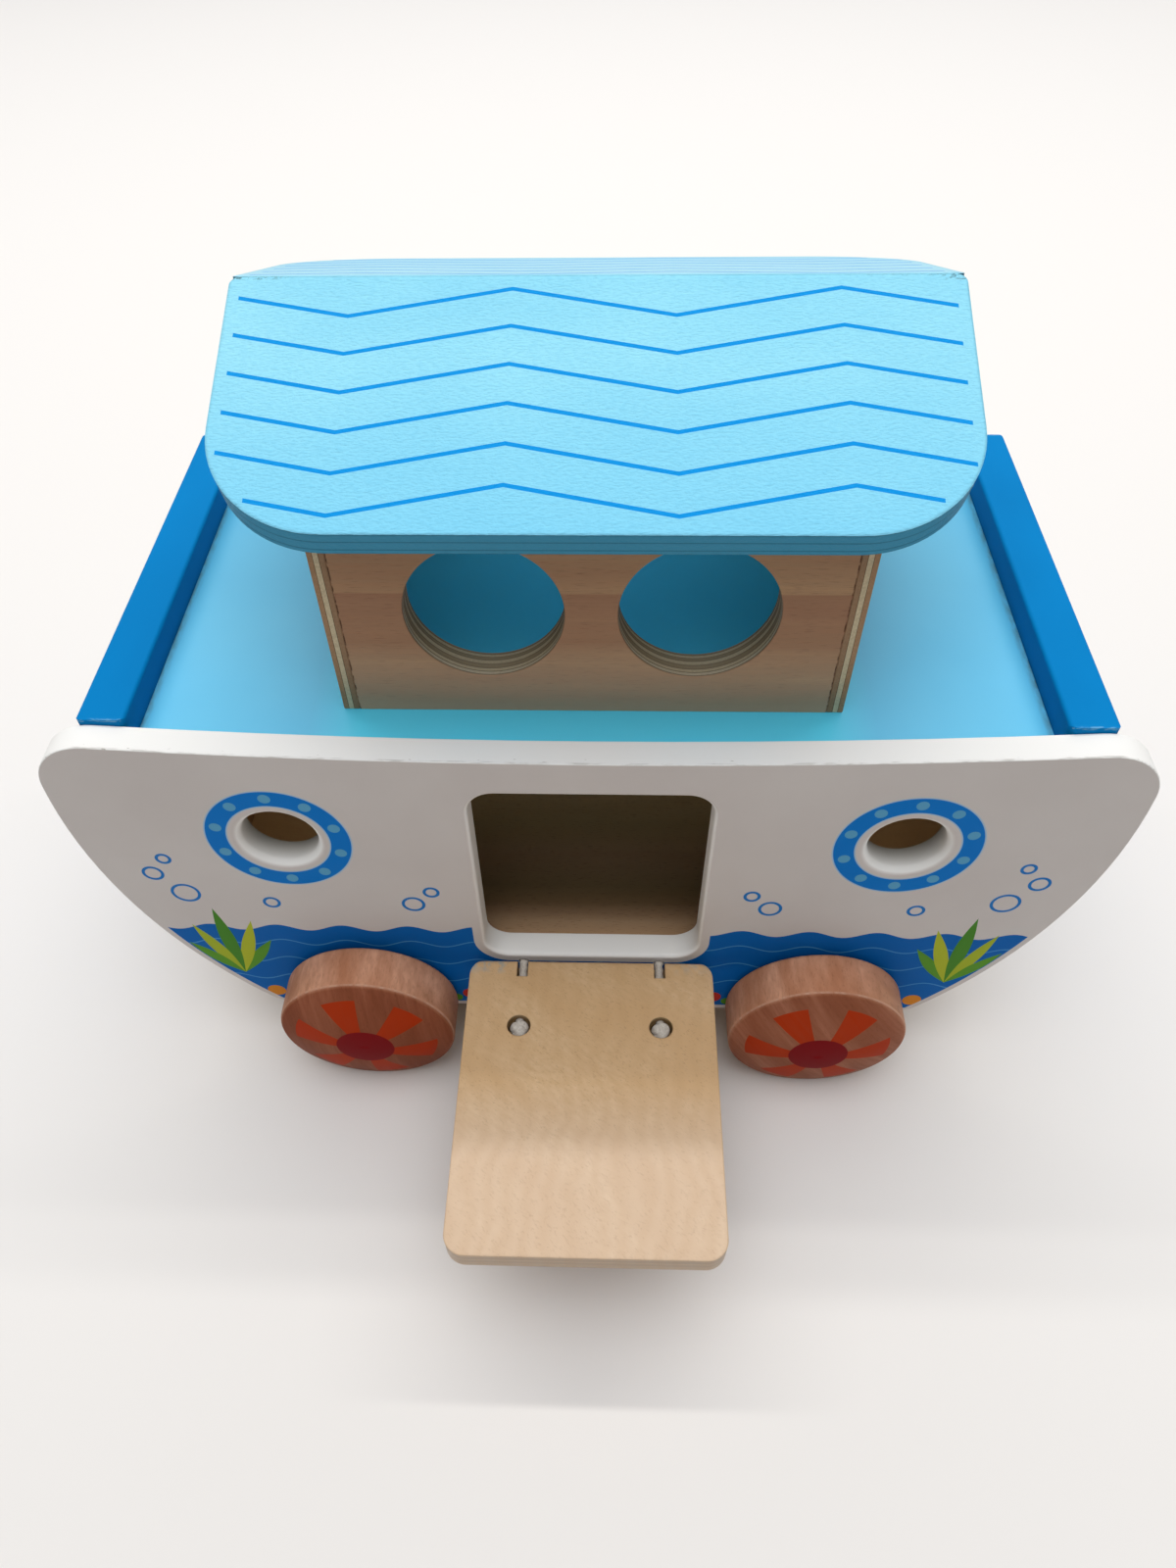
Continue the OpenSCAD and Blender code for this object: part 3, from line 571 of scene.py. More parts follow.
# Degrees that the sun and the wood are turned by, and the tint of painted shade on the dome
WHEELS = {
    "front_left": (15, 4, "#BE9A8C"), "front_right": (0, 36, "#CAB0A8"),
    "back_left": (17, -20, "#C4A59A"), "back_right": (-14, 60, "#BE9A8C"),
}
for place, (sun_deg, wood_deg, lacquer) in WHEELS.items():
    low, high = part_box(place + "_wheel")
    centre = (low + high) / 2 / MM
    beech, tree, at, normal = begin("printed_beech_" + place)
    local = add(tree, VECTOR, at, centre, operation="SUBTRACT")
    laid = add(tree, "ShaderNodeVectorRotate", local, (0, 0, 0), (0, 1, 0), math.radians(wood_deg))
    figure = add(tree, RANGE, streaks(tree, laid, (9, 30, 70), detail=2.0, seed=5.0 + centre.x), *FIGURED)
    grain = streaks(tree, laid, (1.6, 6, 40), detail=3.0, seed=centre.y)
    flecks = streaks(tree, laid, (0.35, 2.0, 2.4), detail=1.0, seed=centre.x)
    flecks = add(tree, RANGE, flecks, 0.58, 0.72, 0.0, FLECK_SHARE)
    wood = add(tree, MIX, figure, BEECH["face"], BEECH["figure"], **COLOUR)
    wood = add(tree, MIX, add(tree, RANGE, grain, 0.3, 1.0), wood, BEECH["grain"], **COLOUR)
    wood = add(tree, MIX, flecks, wood, BEECH["fleck"], **COLOUR)
    # The dome is painted darker than the rolling face, as painted shade, and a pale line round its shoulder
    # is a painted highlight
    outward = (0, math.copysign(1, centre.y), 0)
    out = add(tree, VECTOR, normal, outward, operation="DOT_PRODUCT").outputs["Value"]
    soaked = add(tree, RANGE, out, LACQUER_FROM, LACQUER_FULL)
    wood = add(tree, MIX, soaked, wood, paint(lacquer), blend_type="MULTIPLY", **COLOUR)
    shoulder = add(tree, MATH, out, SHOULDER, SHOULDER_HALF, operation="COMPARE")
    rubbed = add(tree, MATH, shoulder, add(tree, RANGE, grain, 0.3, 1.6), **TIMES)
    wood = add(tree, MIX, rubbed, wood, BEECH["rubbed"], **COLOUR)
    # The sun: rays out to a distance from the axle, in ink that the grain thins, and a hub over them
    x, y, z = add(tree, SPLIT, local).outputs
    radius = add(tree, VECTOR, add(tree, JOIN, x, 0.0, z), operation="LENGTH").outputs["Value"]
    angle = add(tree, MATH, z, x, operation="ARCTAN2")
    angle = add(tree, MATH, angle, math.radians(sun_deg), operation="ADD")
    off_ray = add(tree, MATH, angle, math.pi / RAYS, operation="PINGPONG")
    on_dome = add(tree, MATH, out, DOME_FROM, **ABOVE)
    rays = add(tree, MATH, off_ray, RAY_HALF, **BELOW)
    for limit in (add(tree, MATH, radius, RAY_R, **BELOW), on_dome):
        rays = add(tree, MATH, rays, limit, **TIMES)
    cover = add(tree, MATH, grain, -INK_LOSS, INK_COVER, operation="MULTIPLY_ADD")
    ink = add(tree, MATH, cover, rays, **TIMES, use_clamp=True)
    colour = add(tree, MIX, ink, wood, BEECH["ray"], **COLOUR)
    hub = add(tree, MATH, radius, HUB_R, **BELOW)
    hub = add(tree, MATH, hub, on_dome, **TIMES)
    colour = add(tree, MIX, hub, colour, BEECH["hub"], **COLOUR)
    # Thin lacquer over open grain: dull in itself, with a faint clear light on top
    dull = add(tree, RANGE, grain, 0.0, 1.0, 0.4, 0.55)
    end(tree, colour, dull, grain, relief_mm=0.03, gloss=0.02, Coat_Weight=0.06, Coat_Roughness=0.15)
    dress(beech, place + "_wheel")
print("suns printed:", len(WHEELS), "with", RAYS, "rays each")

# %% [markdown]
# ## Roof
# The roof is painted pale blue over plywood. The paint is satin and thin: the grain still shows as fine
# ripples, and the plies show as faint lines on the cut edge. The dark lines are a print: six rows of a plain
# zigzag. They could be laid as thin strips, but folding numbers is shorter: folding the place along the roof
# back and forth gives the zigzag, and folding the place down the slope gives the rows.

# %% Printed zigzag
ROOF_PITCH, ROOF_UP = math.radians(19.5), 0.85
# Half a zigzag's length, where one starts and how far it climbs, then the rows and the line itself
ZIG_HALF, ZIG_START, ZIG_RISE = 44.6, -66.9, 9.38
ROW_FIRST, ROW_STEP, ROWS = 14.05, 12.86, 6
LINE_HALF, LINE_END, LAST_LINE_END = 0.68, 97.7, 88.6

roof, tree, at, normal = begin("pale_blue_roof_paint")
x, y, z = add(tree, SPLIT, at).outputs
off_ridge = add(tree, MATH, y, **ABS)
down_slope = add(tree, MATH, off_ridge, math.cos(ROOF_PITCH), operation="DIVIDE")
fold = add(tree, MATH, x, ZIG_START, operation="SUBTRACT")
fold = add(tree, MATH, fold, ZIG_HALF, operation="PINGPONG")
row_at = add(tree, MATH, fold, ZIG_RISE / ZIG_HALF, down_slope, operation="MULTIPLY_ADD")
row_at = add(tree, MATH, row_at, ROW_FIRST, operation="SUBTRACT")
off_line = add(tree, MATH, row_at, ROW_STEP / 2, operation="PINGPONG")
rows_mid = ROW_STEP * (ROWS - 1) / 2
in_rows = add(tree, MATH, row_at, rows_mid, rows_mid + ROW_STEP / 2, operation="COMPARE")
last = add(tree, MATH, row_at, ROW_STEP * (ROWS - 1.5), **ABOVE)
reach = add(tree, MATH, last, LAST_LINE_END - LINE_END, LINE_END, operation="MULTIPLY_ADD")
in_reach = add(tree, MATH, add(tree, MATH, x, **ABS), reach, **BELOW)
facing_up = add(tree, MATH, add(tree, SPLIT, normal).outputs["Z"], ROOF_UP, **ABOVE)
zigzag = add(tree, MATH, off_line, LINE_HALF, **BELOW)
for limit in (in_rows, in_reach, facing_up):
    zigzag = add(tree, MATH, zigzag, limit, **TIMES)
print("zigzag rows:", ROWS, "each", ROW_STEP, "mm below the last")

# %% [markdown]
# Under the print lies the paint: cloudy and a little deeper towards the eave. Behind the ridge the back slope
# is painted paler, as painted sheen, and the cut edge is painted darker, as painted shade. The plies show on
# the edge as lines at a steady depth below the upper face. The real ripples are finer: they are drawn about a
# millimetre long, so that they show.

# %% Roof paint
ROOF = paints(ground="#90DCF6", cloud="#9CE4FA", run="#7ED4F6", ripple="#5CB6DE", faded="#C4D4DA",
              soaked="#3B8CAE", ply="#275A72", ink="#0096E6", scuff="#3F5C64")
ROOF_T, ROOF_SLOPE, RUN_FROM, RUN_SHARE, FADE_MM, FADE_SHARE = 8.0, 84.0, 30.0, 0.7, 8.0, 0.4
PLY_STEP, PLY_HALF, PLY_SHARE, SOAKED_SHARE = ROOF_T / 5, 0.22, 0.5, 0.9

roof_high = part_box("roof_front_panel")[1] / MM
ripples = streaks(tree, at, (1.5, 0.7, 0.7), detail=4.0)
clouds = add(tree, RANGE, streaks(tree, at, (60, 40, 40), detail=2.0, seed=7.0), *SOFT)
tone = add(tree, MIX, clouds, ROOF["ground"], ROOF["cloud"], **COLOUR)
# A little deeper towards the eave
run = add(tree, RANGE, down_slope, RUN_FROM, ROOF_SLOPE, 0.0, RUN_SHARE)
tone = add(tree, MIX, run, tone, ROOF["run"], **COLOUR)
tone = add(tree, MIX, add(tree, RANGE, ripples, 0.42, 1.9), tone, ROOF["ripple"], **COLOUR)
# Painted sheen: the back slope is made paler
faded = add(tree, RANGE, y, 0.0, FADE_MM, 0.0, FADE_SHARE)
tone = add(tree, MIX, faded, tone, ROOF["faded"], **COLOUR)
# Painted shade: the cut edge is made darker
on_edge = add(tree, MATH, 1.0, facing_up, operation="SUBTRACT")
soaked = add(tree, MATH, on_edge, SOAKED_SHARE, **TIMES)
tone = add(tree, MIX, soaked, tone, ROOF["soaked"], **COLOUR)
# Depth below the upper face, measured square to it
sideways = add(tree, MATH, off_ridge, math.sin(ROOF_PITCH), **TIMES)
ridge = roof_high.z * math.cos(ROOF_PITCH)
below = add(tree, MATH, z, -math.cos(ROOF_PITCH), ridge, operation="MULTIPLY_ADD")
below = add(tree, MATH, below, sideways, operation="SUBTRACT")
off_ply = add(tree, MATH, below, PLY_STEP, operation="PINGPONG")
ply_line = add(tree, MATH, off_ply, PLY_HALF, **BELOW)
for limit in (on_edge, PLY_SHARE):
    ply_line = add(tree, MATH, ply_line, limit, **TIMES)
tone = add(tree, MIX, ply_line, tone, ROOF["ply"], **COLOUR)
tone = add(tree, MIX, zigzag, tone, ROOF["ink"], **COLOUR)
print("ply lines", round(2 * PLY_STEP, 1), "mm apart on the roof's edge")

# %% [markdown]
# The ridge is worn at its ends: a thin broken line at the left, a patch with dashes beside it at the right.
# Each spot is a stretch along the ridge times a strip beside it, broken up by noise.

# %% Worn ridge
# Where it is fullest, how far it reaches along and beside the ridge, and its share
WORN = ((-roof_high.x + 1, -18.0, 1.2, 1.0), (roof_high.x - 1, 7.0, 2.6, 0.9),
        (roof_high.x - 6, 34.0, 0.8, 0.35))
STRIP_FULL = 0.6

scuffs = add(tree, RANGE, streaks(tree, at, (1.3, 0.5, 0.5), detail=3.0, seed=4.0), 0.5, 0.6)
for full_x, reach_x, reach_y, share in WORN:
    worn = scuffs
    for limit in (add(tree, RANGE, x, full_x - reach_x, full_x),
                  add(tree, RANGE, off_ridge, reach_y, reach_y * STRIP_FULL, 0.0, share)):
        worn = add(tree, MATH, worn, limit, **TIMES)
    tone = add(tree, MIX, worn, tone, ROOF["scuff"], **COLOUR)
relief = add(tree, MATH, ply_line, -1.0, ripples, operation="MULTIPLY_ADD")
# Satin paint over grain: the ripples break its highlight into a fine glitter
satin = add(tree, RANGE, ripples, 0.0, 1.0, 0.35, 0.55)
end(tree, tone, satin, relief, relief_mm=0.3, gloss=0.05, eased_mm=1.5)
dress(roof, "roof_front_panel", "roof_back_panel")
print("worn spots on the ridge:", len(WORN))

# %% [markdown]
# ## Deck
# The deck has pale blue paint on a smooth board. It could share the roof's finish, but it has no ripples, and
# its marks are its own: dust and glue leave a dull line where it meets the end boards, darkened there as
# painted shade in the corner. It is painted darker towards the back, as painted shade under the roof, and
# brighter across the middle where the cabin stands, as painted light. Below, the wood is bare.

# %% Deck paint
DECK = paints(ground="#58C2EC", cloud="#64C9F0", dust="#5C8088", dull="#EAEFEF", sheltered="#5CDEFF",
              bare="#DED0B4")
DUST_WIDE, DUST_FULL, DUST_SHARE, DULL_FROM = 2.6, 0.2, 0.75, -50.0
SHELTER_OUT, SHELTER_IN, DECK_UP, SATIN_ROUGH, DUSTY_ROUGH = 10, 6, 0.5, 0.34, 1.0

deck_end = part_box("deck_board")[1].x / MM
deck, tree, at, normal = begin("pale_blue_deck_paint")
x, y, z = add(tree, SPLIT, at).outputs
across = add(tree, MATH, x, **ABS)
clouds = add(tree, RANGE, streaks(tree, at, (50, 70, 50), detail=3.0, seed=2.0), *SOFT)
tone = add(tree, MIX, clouds, DECK["ground"], DECK["cloud"], **COLOUR)
# Dust and glue at the end boards, with painted shade in the corner
at_end = add(tree, RANGE, across, deck_end - DUST_WIDE, deck_end - DUST_FULL, 0.0, DUST_SHARE)
dust = add(tree, RANGE, streaks(tree, at, (1.5, 6, 2)), 0.3, 0.6)
dust = add(tree, MATH, at_end, dust, **TIMES)
tone = add(tree, MIX, dust, tone, DECK["dust"], **COLOUR)
# Painted shade: darker towards the back
back = add(tree, RANGE, y, DULL_FROM, 0.0)
tone = add(tree, MIX, back, tone, DECK["dull"], blend_type="MULTIPLY", **COLOUR)
# Painted light: brighter across the middle, where the cabin stands
sheltered = add(tree, RANGE, across, wall_x[1] + SHELTER_OUT, wall_x[1] - SHELTER_IN)
tone = add(tree, MIX, sheltered, tone, DECK["sheltered"], **COLOUR)
facing_up = add(tree, MATH, add(tree, SPLIT, normal).outputs["Z"], DECK_UP, **ABOVE)
tone = add(tree, MIX, facing_up, DECK["bare"], tone, **COLOUR)
# Satin paint that mirrors the bright window softly, but dusty and dull inside the cabin
in_cabin = add(tree, MATH, across, wall_x[0], **BELOW)
between_walls = add(tree, MATH, add(tree, MATH, y, **ABS), wall_y[0], **BELOW)
in_cabin = add(tree, MATH, in_cabin, between_walls, **TIMES)
satin = add(tree, RANGE, in_cabin, 0.0, 1.0, SATIN_ROUGH, DUSTY_ROUGH)
end(tree, tone, satin, streaks(tree, at, (0.8, 0.8, 0.8), detail=2.0), relief_mm=0.02, gloss=0.6)
dress(deck, "deck_board")
print("deck reaches", round(deck_end, 1), "mm to either side")

# %% [markdown]
# ## End boards
# The end boards are deep blue. A few chips at their corners show a paler coat below, and a pale line along
# the
# top of each tip is a painted highlight of its rounded edge. Both come from noise that is kept to the
# corners:
# near the tip and near the top. Inside the hold, below the deck, the boards were never painted.

# %% End boards
CORNER_LONG, CORNER_HIGH, CHIP_SHARE, INNER_MM = 0.7, 0.9, 0.6, 0.3

board_low, board_high = (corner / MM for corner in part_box("right_end_board"))
deck_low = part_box("deck_board")[0].z / MM
deep_blue, tree, at, normal = begin("deep_blue_paint")
x, y, z = add(tree, SPLIT, at).outputs
clouds = add(tree, RANGE, streaks(tree, at, (30, 60, 30), detail=2.0), *SOFT)
tone = add(tree, MIX, clouds, paint("#067DC0"), paint("#0783C8"), **COLOUR)
off_middle = add(tree, MATH, y, **ABS)
# Chips, and a painted highlight along the rounded top of each tip
chips = add(tree, RANGE, streaks(tree, at, (2.4, 0.6, 0.6), detail=2.0, seed=1.0), 0.45, 0.6, 0.0, CHIP_SHARE)
for limit in (add(tree, MATH, off_middle, board_high.y - CORNER_LONG, **ABOVE),
              add(tree, MATH, z, board_high.z - CORNER_HIGH, **ABOVE)):
    chips = add(tree, MATH, chips, limit, **TIMES)
tone = add(tree, MIX, chips, tone, paint("#7DBCE0"), **COLOUR)
across = add(tree, MATH, x, **ABS)
inner_face = add(tree, MATH, across, board_low.x + INNER_MM, **BELOW)
below_deck = add(tree, MATH, z, deck_low, **BELOW)
in_hold = add(tree, MATH, below_deck, inner_face, **TIMES)
tone = add(tree, MIX, in_hold, tone, paint("#C9A67A"), **COLOUR)
# Thick even paint: a deep plain blue with hardly a highlight
end(tree, tone, roughness=0.42, relief=streaks(tree, at, (1, 3, 1), detail=2.0), relief_mm=0.02, gloss=0.02)
dress(deep_blue, "left_end_board", "right_end_board")
print("end boards are", round(board_high.x - board_low.x, 1), "mm thick")

# %% [markdown]
# ## White side panels
# The side panels are white outside and bare wood inside. A sea is printed along the bottom, with pebbles and
# plain leaves on it and small rings above it, and blue rings with pale rivets lie round the portholes. The
# print could be a picture, but drawn from distances in millimetres it stays sharp at any size: a ring is a
# band of distance from a centre, a leaf is a strip whose width swells and tapers along its length. All but
# the waves is mirrored about the middle of the hull.

# %% Panel sizes and drawing helpers
panel_low, panel_high = (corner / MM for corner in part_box("back_side_panel"))
PANEL_IN_Y, PANEL_Y = panel_low.y, panel_high.y


def leaf(tree, at, root, lean_deg, length, half_width):
    """1 inside a pointed leaf that grows from root, leaning away from upright."""
    local = add(tree, "ShaderNodeMapping", at, root, (0, 0, -math.radians(lean_deg)),
                (half_width, length, 1.0), vector_type="TEXTURE")
    sideways, along, depth = add(tree, SPLIT, local).outputs
    swell = add(tree, MATH, add(tree, MATH, along, math.pi, **TIMES), operation="SINE")
    tall = add(tree, MATH, along, 0.5, 0.5, operation="COMPARE")
    slim = add(tree, MATH, add(tree, MATH, sideways, **ABS), swell, **BELOW)
    return add(tree, MATH, slim, tall, **TIMES)


def band(tree, at, centre, radius, half_width):
    """1 inside a ring, or inside a disc of that half width where the radius is 0."""
    off = add(tree, VECTOR, at, centre, operation="DISTANCE").outputs["Value"]
    return add(tree, MATH, off, radius, half_width, operation="COMPARE")


print("panels stand", round(2 * PANEL_Y, 1), "mm apart over all")

# %% [markdown]
# The ground comes first: satin white. The printed face is painted greyer than the bright edges and rims, as
# painted shade.

# %% White ground
PANEL = paints(ground="#D1CAC6", cloud="#D6D0CC", rim="#F6F5F2", bare="#DCC8A8", grain="#CAB290",
               worn="#8F877C", thin="#6E6A5C")
RIM_UNTIL, FLAT_FROM = 0.8, 0.98

white, tree, at, normal = begin("white_panel_paint")
x, y, z = add(tree, SPLIT, at).outputs
depth = add(tree, MATH, y, **ABS)
across = add(tree, MATH, x, **ABS)
mirrored = add(tree, JOIN, across, z, 0.0)
facing = add(tree, SPLIT, normal)
clouds = add(tree, RANGE, streaks(tree, at, (40, 40, 40), detail=3.0, seed=5.0), *SOFT)
colour = add(tree, MIX, clouds, PANEL["ground"], PANEL["cloud"], **COLOUR)
# Painted shade: the face is greyer than the edges and rims
flat_on = add(tree, MATH, facing.outputs["Y"], **ABS)
flat_on = add(tree, RANGE, flat_on, RIM_UNTIL, FLAT_FROM)
colour = add(tree, MIX, flat_on, PANEL["rim"], colour, **COLOUR)
print("panels are", round(PANEL_Y - PANEL_IN_Y, 1), "mm thick")

# %% [markdown]
# The sea keeps clear of the edge of the panel and, on the front, of the door. The distance from the door is
# that from a smaller rectangle, so the margin runs round its corners in an arc.

# %% Where the sea is printed
HULL_R, HULL_CENTRE_Z, MARGIN = 170.0, 140.0, 2.6
DOOR_HALF_W, DOOR_MID_Z, DOOR_HALF_H, DOOR_R, DOOR_MARGIN = 38.75, 104.25, 44.25, 9.0, 4.0
FACE_MM = 0.3

keel_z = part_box("front_side_panel")[0].z / MM
off_centre = add(tree, VECTOR, mirrored, (0, HULL_CENTRE_Z, 0), operation="DISTANCE").outputs["Value"]
in_hull = add(tree, MATH, off_centre, HULL_R - MARGIN, **BELOW)
over_keel = add(tree, MATH, z, keel_z + MARGIN, **ABOVE)
door_x = add(tree, MATH, across, DOOR_HALF_W - DOOR_R, operation="SUBTRACT")
door_z = add(tree, MATH, z, DOOR_MID_Z, operation="SUBTRACT")
door_z = add(tree, MATH, door_z, **ABS)
door_z = add(tree, MATH, door_z, DOOR_HALF_H - DOOR_R, operation="SUBTRACT")
off_door = add(tree, VECTOR, add(tree, JOIN, door_x, door_z, 0.0), (0, 0, 0), operation="MAXIMUM")
off_door = add(tree, VECTOR, off_door, operation="LENGTH").outputs["Value"]
clear_door = add(tree, MATH, off_door, DOOR_R + DOOR_MARGIN, **ABOVE)
behind = add(tree, MATH, y, 0.0, **ABOVE)
clear_door = add(tree, MATH, clear_door, behind, operation="MAXIMUM")
on_face = add(tree, MATH, depth, PANEL_Y - FACE_MM, **ABOVE)
printed = on_face
for limit in (in_hull, over_keel, clear_door):
    printed = add(tree, MATH, printed, limit, **TIMES)
print("the sea keeps", MARGIN, "mm off the edge and", DOOR_MARGIN, "mm off the door")

# %% [markdown]
# The sea has a wavy top and a few pale lines that follow it. Pebbles lie on it, a fan of leaves grows out of
# it, and small rings float above it. Each is a mask with a colour, and one loop prints them one over the
# other, as a screen printer would.

# %% Sea, pebbles, leaves and rings
PRINT = paints(sea="#0363B4", sea_line="#5FA9D8", bubble="#2277C4", red="#C8362C", orange="#D98A2B",
               dark_leaf="#4C8A2C", leaf="#5E9A2E", lime_leaf="#A9B830", yellow_leaf="#B4BE32",
               ring="#0678CE", ring_line="#8CC4E6", rivet="#5FA6CC")
SEA_Z, WAVE_LENGTH, WAVE_HALF = 75.6, 24.0, 1.7
SEA_LINES, SEA_LINE_HALF, SEA_LINE_SHARE = (9.5, 21.0, 33.0), 0.32, 0.6
# Place along the hull, height and radius
PEBBLES = ((47, 32, 3.4, "red"), (53, 29, 2.4, "leaf"), (124, 32, 3.6, "orange"), (117, 29, 2.2, "red"))
BUBBLES = ((141, 96, 4.6), (149, 107, 3.2), (143, 115, 2.2), (62, 91, 3.6), (55, 98, 2.4), (112, 91, 2.6))
BUBBLE_HALF = 0.55
# Degrees of lean, length and half width
LEAVES = ((-34, 27, 2.4, "leaf"), (-17, 36, 2.6, "yellow_leaf"), (2, 42, 2.8, "dark_leaf"),
          (20, 34, 2.5, "lime_leaf"), (38, 26, 2.3, "leaf"))
LEAF_ROOT = (133, 45, 0)

swell = add(tree, MATH, add(tree, MATH, x, 2 * math.pi / WAVE_LENGTH, **TIMES), operation="SINE")
sea_top = add(tree, MATH, swell, WAVE_HALF, SEA_Z, operation="MULTIPLY_ADD")
below = add(tree, MATH, sea_top, z, operation="SUBTRACT")
motifs = [(add(tree, MATH, below, 0.0, **ABOVE), 1.0, "sea")]
motifs += [(add(tree, MATH, below, line, SEA_LINE_HALF, operation="COMPARE"), SEA_LINE_SHARE, "sea_line")
           for line in SEA_LINES]
motifs += [(band(tree, mirrored, (place, high, 0), 0.0, r), 1.0, tone) for place, high, r, tone in PEBBLES]
motifs += [(leaf(tree, mirrored, LEAF_ROOT, *shape), 1.0, tone) for *shape, tone in LEAVES]
motifs += [(band(tree, mirrored, (place, high, 0), r, BUBBLE_HALF), 1.0, "bubble")
           for place, high, r in BUBBLES]
for mask, share, tone in motifs:
    for limit in (printed, share):
        mask = add(tree, MATH, mask, limit, **TIMES)
    colour = add(tree, MIX, mask, colour, PRINT[tone], **COLOUR)
print("motifs on each half of a panel:", len(motifs))

# %% [markdown]
# The portholes have a broad blue ring with a thin pale outline and a circle of rivets. All of it is drawn by
# the distance from the porthole's centre and from each rivet's.

# %% Porthole rings
PORTHOLE = (101.5, 125.5, 0.0)
RING_R, RING_HALF, RING_LINE, RING_LINE_SHARE = 20.2, 3.3, 0.45, 0.7
RIVETS, RIVET_R = 10, 2.0

outline = band(tree, mirrored, PORTHOLE, RING_R, RING_HALF + RING_LINE)
ring = band(tree, mirrored, PORTHOLE, RING_R, RING_HALF)
rings = [(outline, RING_LINE_SHARE, "ring_line"), (ring, 1.0, "ring")]
for i in range(RIVETS):
    turn_at = 2 * math.pi * (i + 0.5) / RIVETS
    rivet = (PORTHOLE[0] + RING_R * math.cos(turn_at), PORTHOLE[1] + RING_R * math.sin(turn_at), 0)
    rings.append((band(tree, mirrored, rivet, 0.0, RIVET_R), 1.0, "rivet"))
for mask, share, tone in rings:
    for limit in (on_face, share):
        mask = add(tree, MATH, mask, limit, **TIMES)
    colour = add(tree, MIX, mask, colour, PRINT[tone], **COLOUR)
print("rivets round each porthole:", RIVETS)

# %% [markdown]
# Last comes the wear: small dark chips along the outer side of the top edge, and a broken line where its
# paint has run to the arris. Deep in the bores the wall is painted darker, as painted shade, and inside the
# hull there is no paint.

# %% Wear, bores and bare inside
# Width of the worn strip, size of its marks, their detail and seed, where the noise starts and ends, share
RAIL_WEAR = (
    (2.2, (3.4, 0.7, 0.7), 2.0, 6.0, 0.71, 0.75, 0.6),
    (0.75, (7, 0.6, 0.6), 3.0, 2.0, 0.5, 0.62, 0.35),
)
RAIL_Z, RAIL_UP, BORE_R, BORE_SLACK = 155.0, 0.4, 12.5, 0.1
THIN_FROM, THIN_SHARE, INSIDE_MM = 2, 0.8, 0.15

facing_up = add(tree, MATH, facing.outputs["Z"], RAIL_UP, **ABOVE)
on_rail = add(tree, MATH, z, RAIL_Z, **ABOVE)
for wide, size_mm, detail, seed, low, high, share in RAIL_WEAR:
    worn = add(tree, RANGE, streaks(tree, at, size_mm, detail, seed), low, high, 0.0, share)
    for limit in (add(tree, MATH, depth, PANEL_Y - wide, **ABOVE), facing_up, on_rail):
        worn = add(tree, MATH, worn, limit, **TIMES)
    colour = add(tree, MIX, worn, colour, PANEL["worn"], **COLOUR)
# Painted shade: darker deep in the bores
in_bore = band(tree, mirrored, PORTHOLE, 0.0, BORE_R + BORE_SLACK)
thin = add(tree, RANGE, depth, PANEL_Y - THIN_FROM, PANEL_IN_Y, 0.0, THIN_SHARE)
thin = add(tree, MATH, in_bore, thin, **TIMES)
colour = add(tree, MIX, thin, colour, PANEL["thin"], **COLOUR)
grain = add(tree, RANGE, streaks(tree, at, (50, 3, 2), detail=4.0), *SOFT)
bare = add(tree, MIX, grain, PANEL["bare"], PANEL["grain"], **COLOUR)
inside = add(tree, MATH, depth, PANEL_IN_Y + INSIDE_MM, **BELOW)
colour = add(tree, MIX, inside, colour, bare, **COLOUR)
# Satin paint with a print under it: soft and even, no mirror, so the print reads from any side
end(tree, colour, roughness=0.5, relief=streaks(tree, at, (1.5, 1.5, 1.5)), relief_mm=0.02, gloss=0.05)
dress(white, "front_side_panel", "back_side_panel")
print("kinds of wear on the top edge:", len(RAIL_WEAR))

# %% [markdown]
# ## Cords
# Two short cotton cords are the ramp's hinge. Each ends in a knot in its pocket, runs through the ramp, shows
# for a moment in the open slot and goes through the panel into the hold's floor. A round tube would look like
# wire, so the tube's section has three lobes that turn along its length, as three twisted strands do. Cotton
# fibres are far thinner than a tenth of a millimetre. They are drawn as tufts a quarter of a millimetre
# across, so that they show.

# %% Cotton
cotton, tree, at, normal = begin("twisted_cotton")
fibres = streaks(tree, at, (0.25, 1.2, 0.25))
tone = add(tree, MIX, add(tree, RANGE, fibres, 0.3, 0.75), paint("#DAD3C9"), paint("#AEA498"), **COLOUR)
# Loose fibres: no highlight, and a pale fuzz at the outline
end(tree, tone, roughness=0.9, relief=fibres, relief_mm=0.08, gloss=0.2, Sheen_Weight=0.3)
print("cotton:", cotton.name)

# %% [markdown]
# The tube is built from rings of points along the way of the cord. Each ring is carried on from the last one
# without a spin of its own, so that only the strands twist. A closed way joins its last ring to its first.

# %% Twisted tube
TWIST_MM, LOBES, LOBE_SHARE, SIDES = 9.0, 3, 0.2, 18


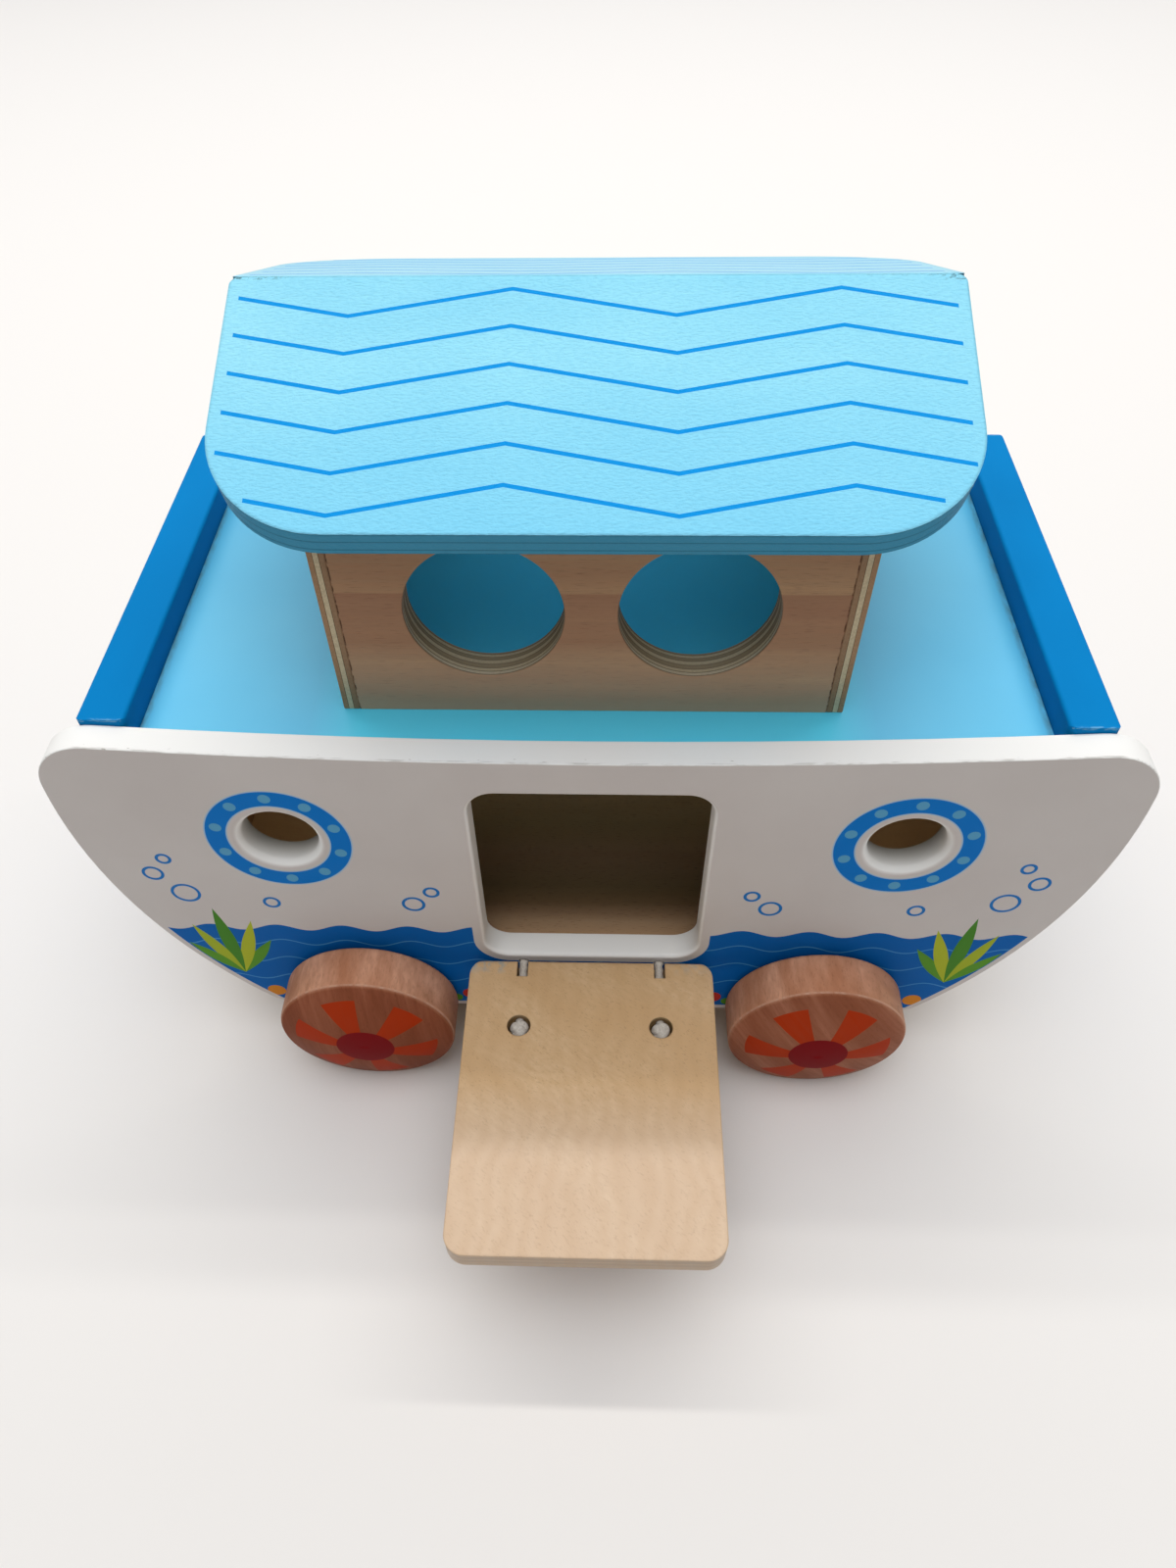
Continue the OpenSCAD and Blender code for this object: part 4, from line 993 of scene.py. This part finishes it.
def lobed_tube(name, points, radius, closed):
    """A tube along points in millimetres, with lobes that twist along it, as strands do."""
    build = bmesh.new()
    rings, run, side = [], 0.0, None
    count = len(points)
    for i, point in enumerate(points):
        ahead = points[(i + 1) % count] if closed else points[min(i + 1, count - 1)]
        back = points[i - 1] if closed else points[max(i - 1, 0)]
        tangent = (ahead - back).normalized()
        guide = tangent.orthogonal() if side is None else side
        side = (guide - tangent * guide.dot(tangent)).normalized()
        other = tangent.cross(side)
        run += (point - points[i - 1]).length if i else 0.0
        ring = []
        for k in range(SIDES):
            a = 2 * math.pi * k / SIDES
            lobe = abs(math.cos(LOBES / 2 * (a - 2 * math.pi * run / TWIST_MM)))
            r = radius * (1 - LOBE_SHARE + LOBE_SHARE * lobe)
            ring.append(build.verts.new((point + (side * math.cos(a) + other * math.sin(a)) * r) * MM))
        rings.append(ring)
    pairs = list(zip(rings, rings[1:])) + ([(rings[-1], rings[0])] if closed else [])
    for first, second in pairs:
        for k in range(SIDES):
            build.faces.new((first[k], first[(k + 1) % SIDES], second[(k + 1) % SIDES], second[k]))
    if not closed:
        build.faces.new(rings[0][::-1])
        build.faces.new(rings[-1])
    bmesh.ops.recalc_face_normals(build, faces=build.faces)
    for face in build.faces:
        face.smooth = len(face.verts) == 4
    mesh = bpy.data.meshes.new(name)
    build.to_mesh(mesh)
    build.free()
    mesh.materials.append(cotton)
    tube = bpy.data.objects.new(name, mesh)
    bpy.context.scene.collection.objects.link(tube)
    return tube


print("strands turn once in", TWIST_MM, "mm")

# %% [markdown]
# The cord crosses the hinge and stands for both halves of the solid cord. The knot is a trefoil, the simplest
# closed knot, small enough for its pocket, and rides on the ramp.

# %% Cords and knots
CORD_X, CORD_D, CORD_SLACK, CORD_STEP = 25.2, 3.6, 0.15, 0.7
KNOT_SIZE, KNOT_RISE, KNOT_TUBE_R, KNOT_STEPS, KNOT_R, KNOT_CLEAR = 0.52, 1.2, 2.0, 96, 4.0, 1.5

hinge = next(joint for joint in frame["joints"] if joint["name"] == "ramp_hinge")
hinge_at = Vector(hinge["pos_m"]) / MM
cord_low, cord_high = (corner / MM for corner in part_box("right_ramp_cord"))
pocket_y = cord_low.y + KNOT_R
knot_z = (cord_low.z + cord_high.z) / 2
first_y = pocket_y + KNOT_CLEAR
last_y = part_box("right_anchor_cord")[1].y / MM
for side, sign in (("left", -1), ("right", 1)):
    route = [Vector((sign * CORD_X, first_y + CORD_STEP * i, hinge_at.z))
             for i in range(int((last_y - first_y) / CORD_STEP) + 1)]
    cord = lobed_tube(side + "_hinge_cord", route, CORD_D / 2 - CORD_SLACK, False)
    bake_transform(cord)
    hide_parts(side + "_ramp_cord", side + "_anchor_cord")
    trefoil = []
    for i in range(KNOT_STEPS):
        t = 2 * math.pi * i / KNOT_STEPS
        bow = (math.sin(t) + 2 * math.sin(2 * t), math.cos(t) - 2 * math.cos(2 * t),
               -KNOT_RISE * math.sin(3 * t))
        trefoil.append(Vector((sign * CORD_X, pocket_y, knot_z)) + Vector(bow) * KNOT_SIZE)
    knot = lobed_tube(side + "_ramp_knot", trefoil, KNOT_TUBE_R, True)
    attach(knot, "ramp")
print("cord from pocket to hold:", round(last_y - pocket_y, 1), "mm")
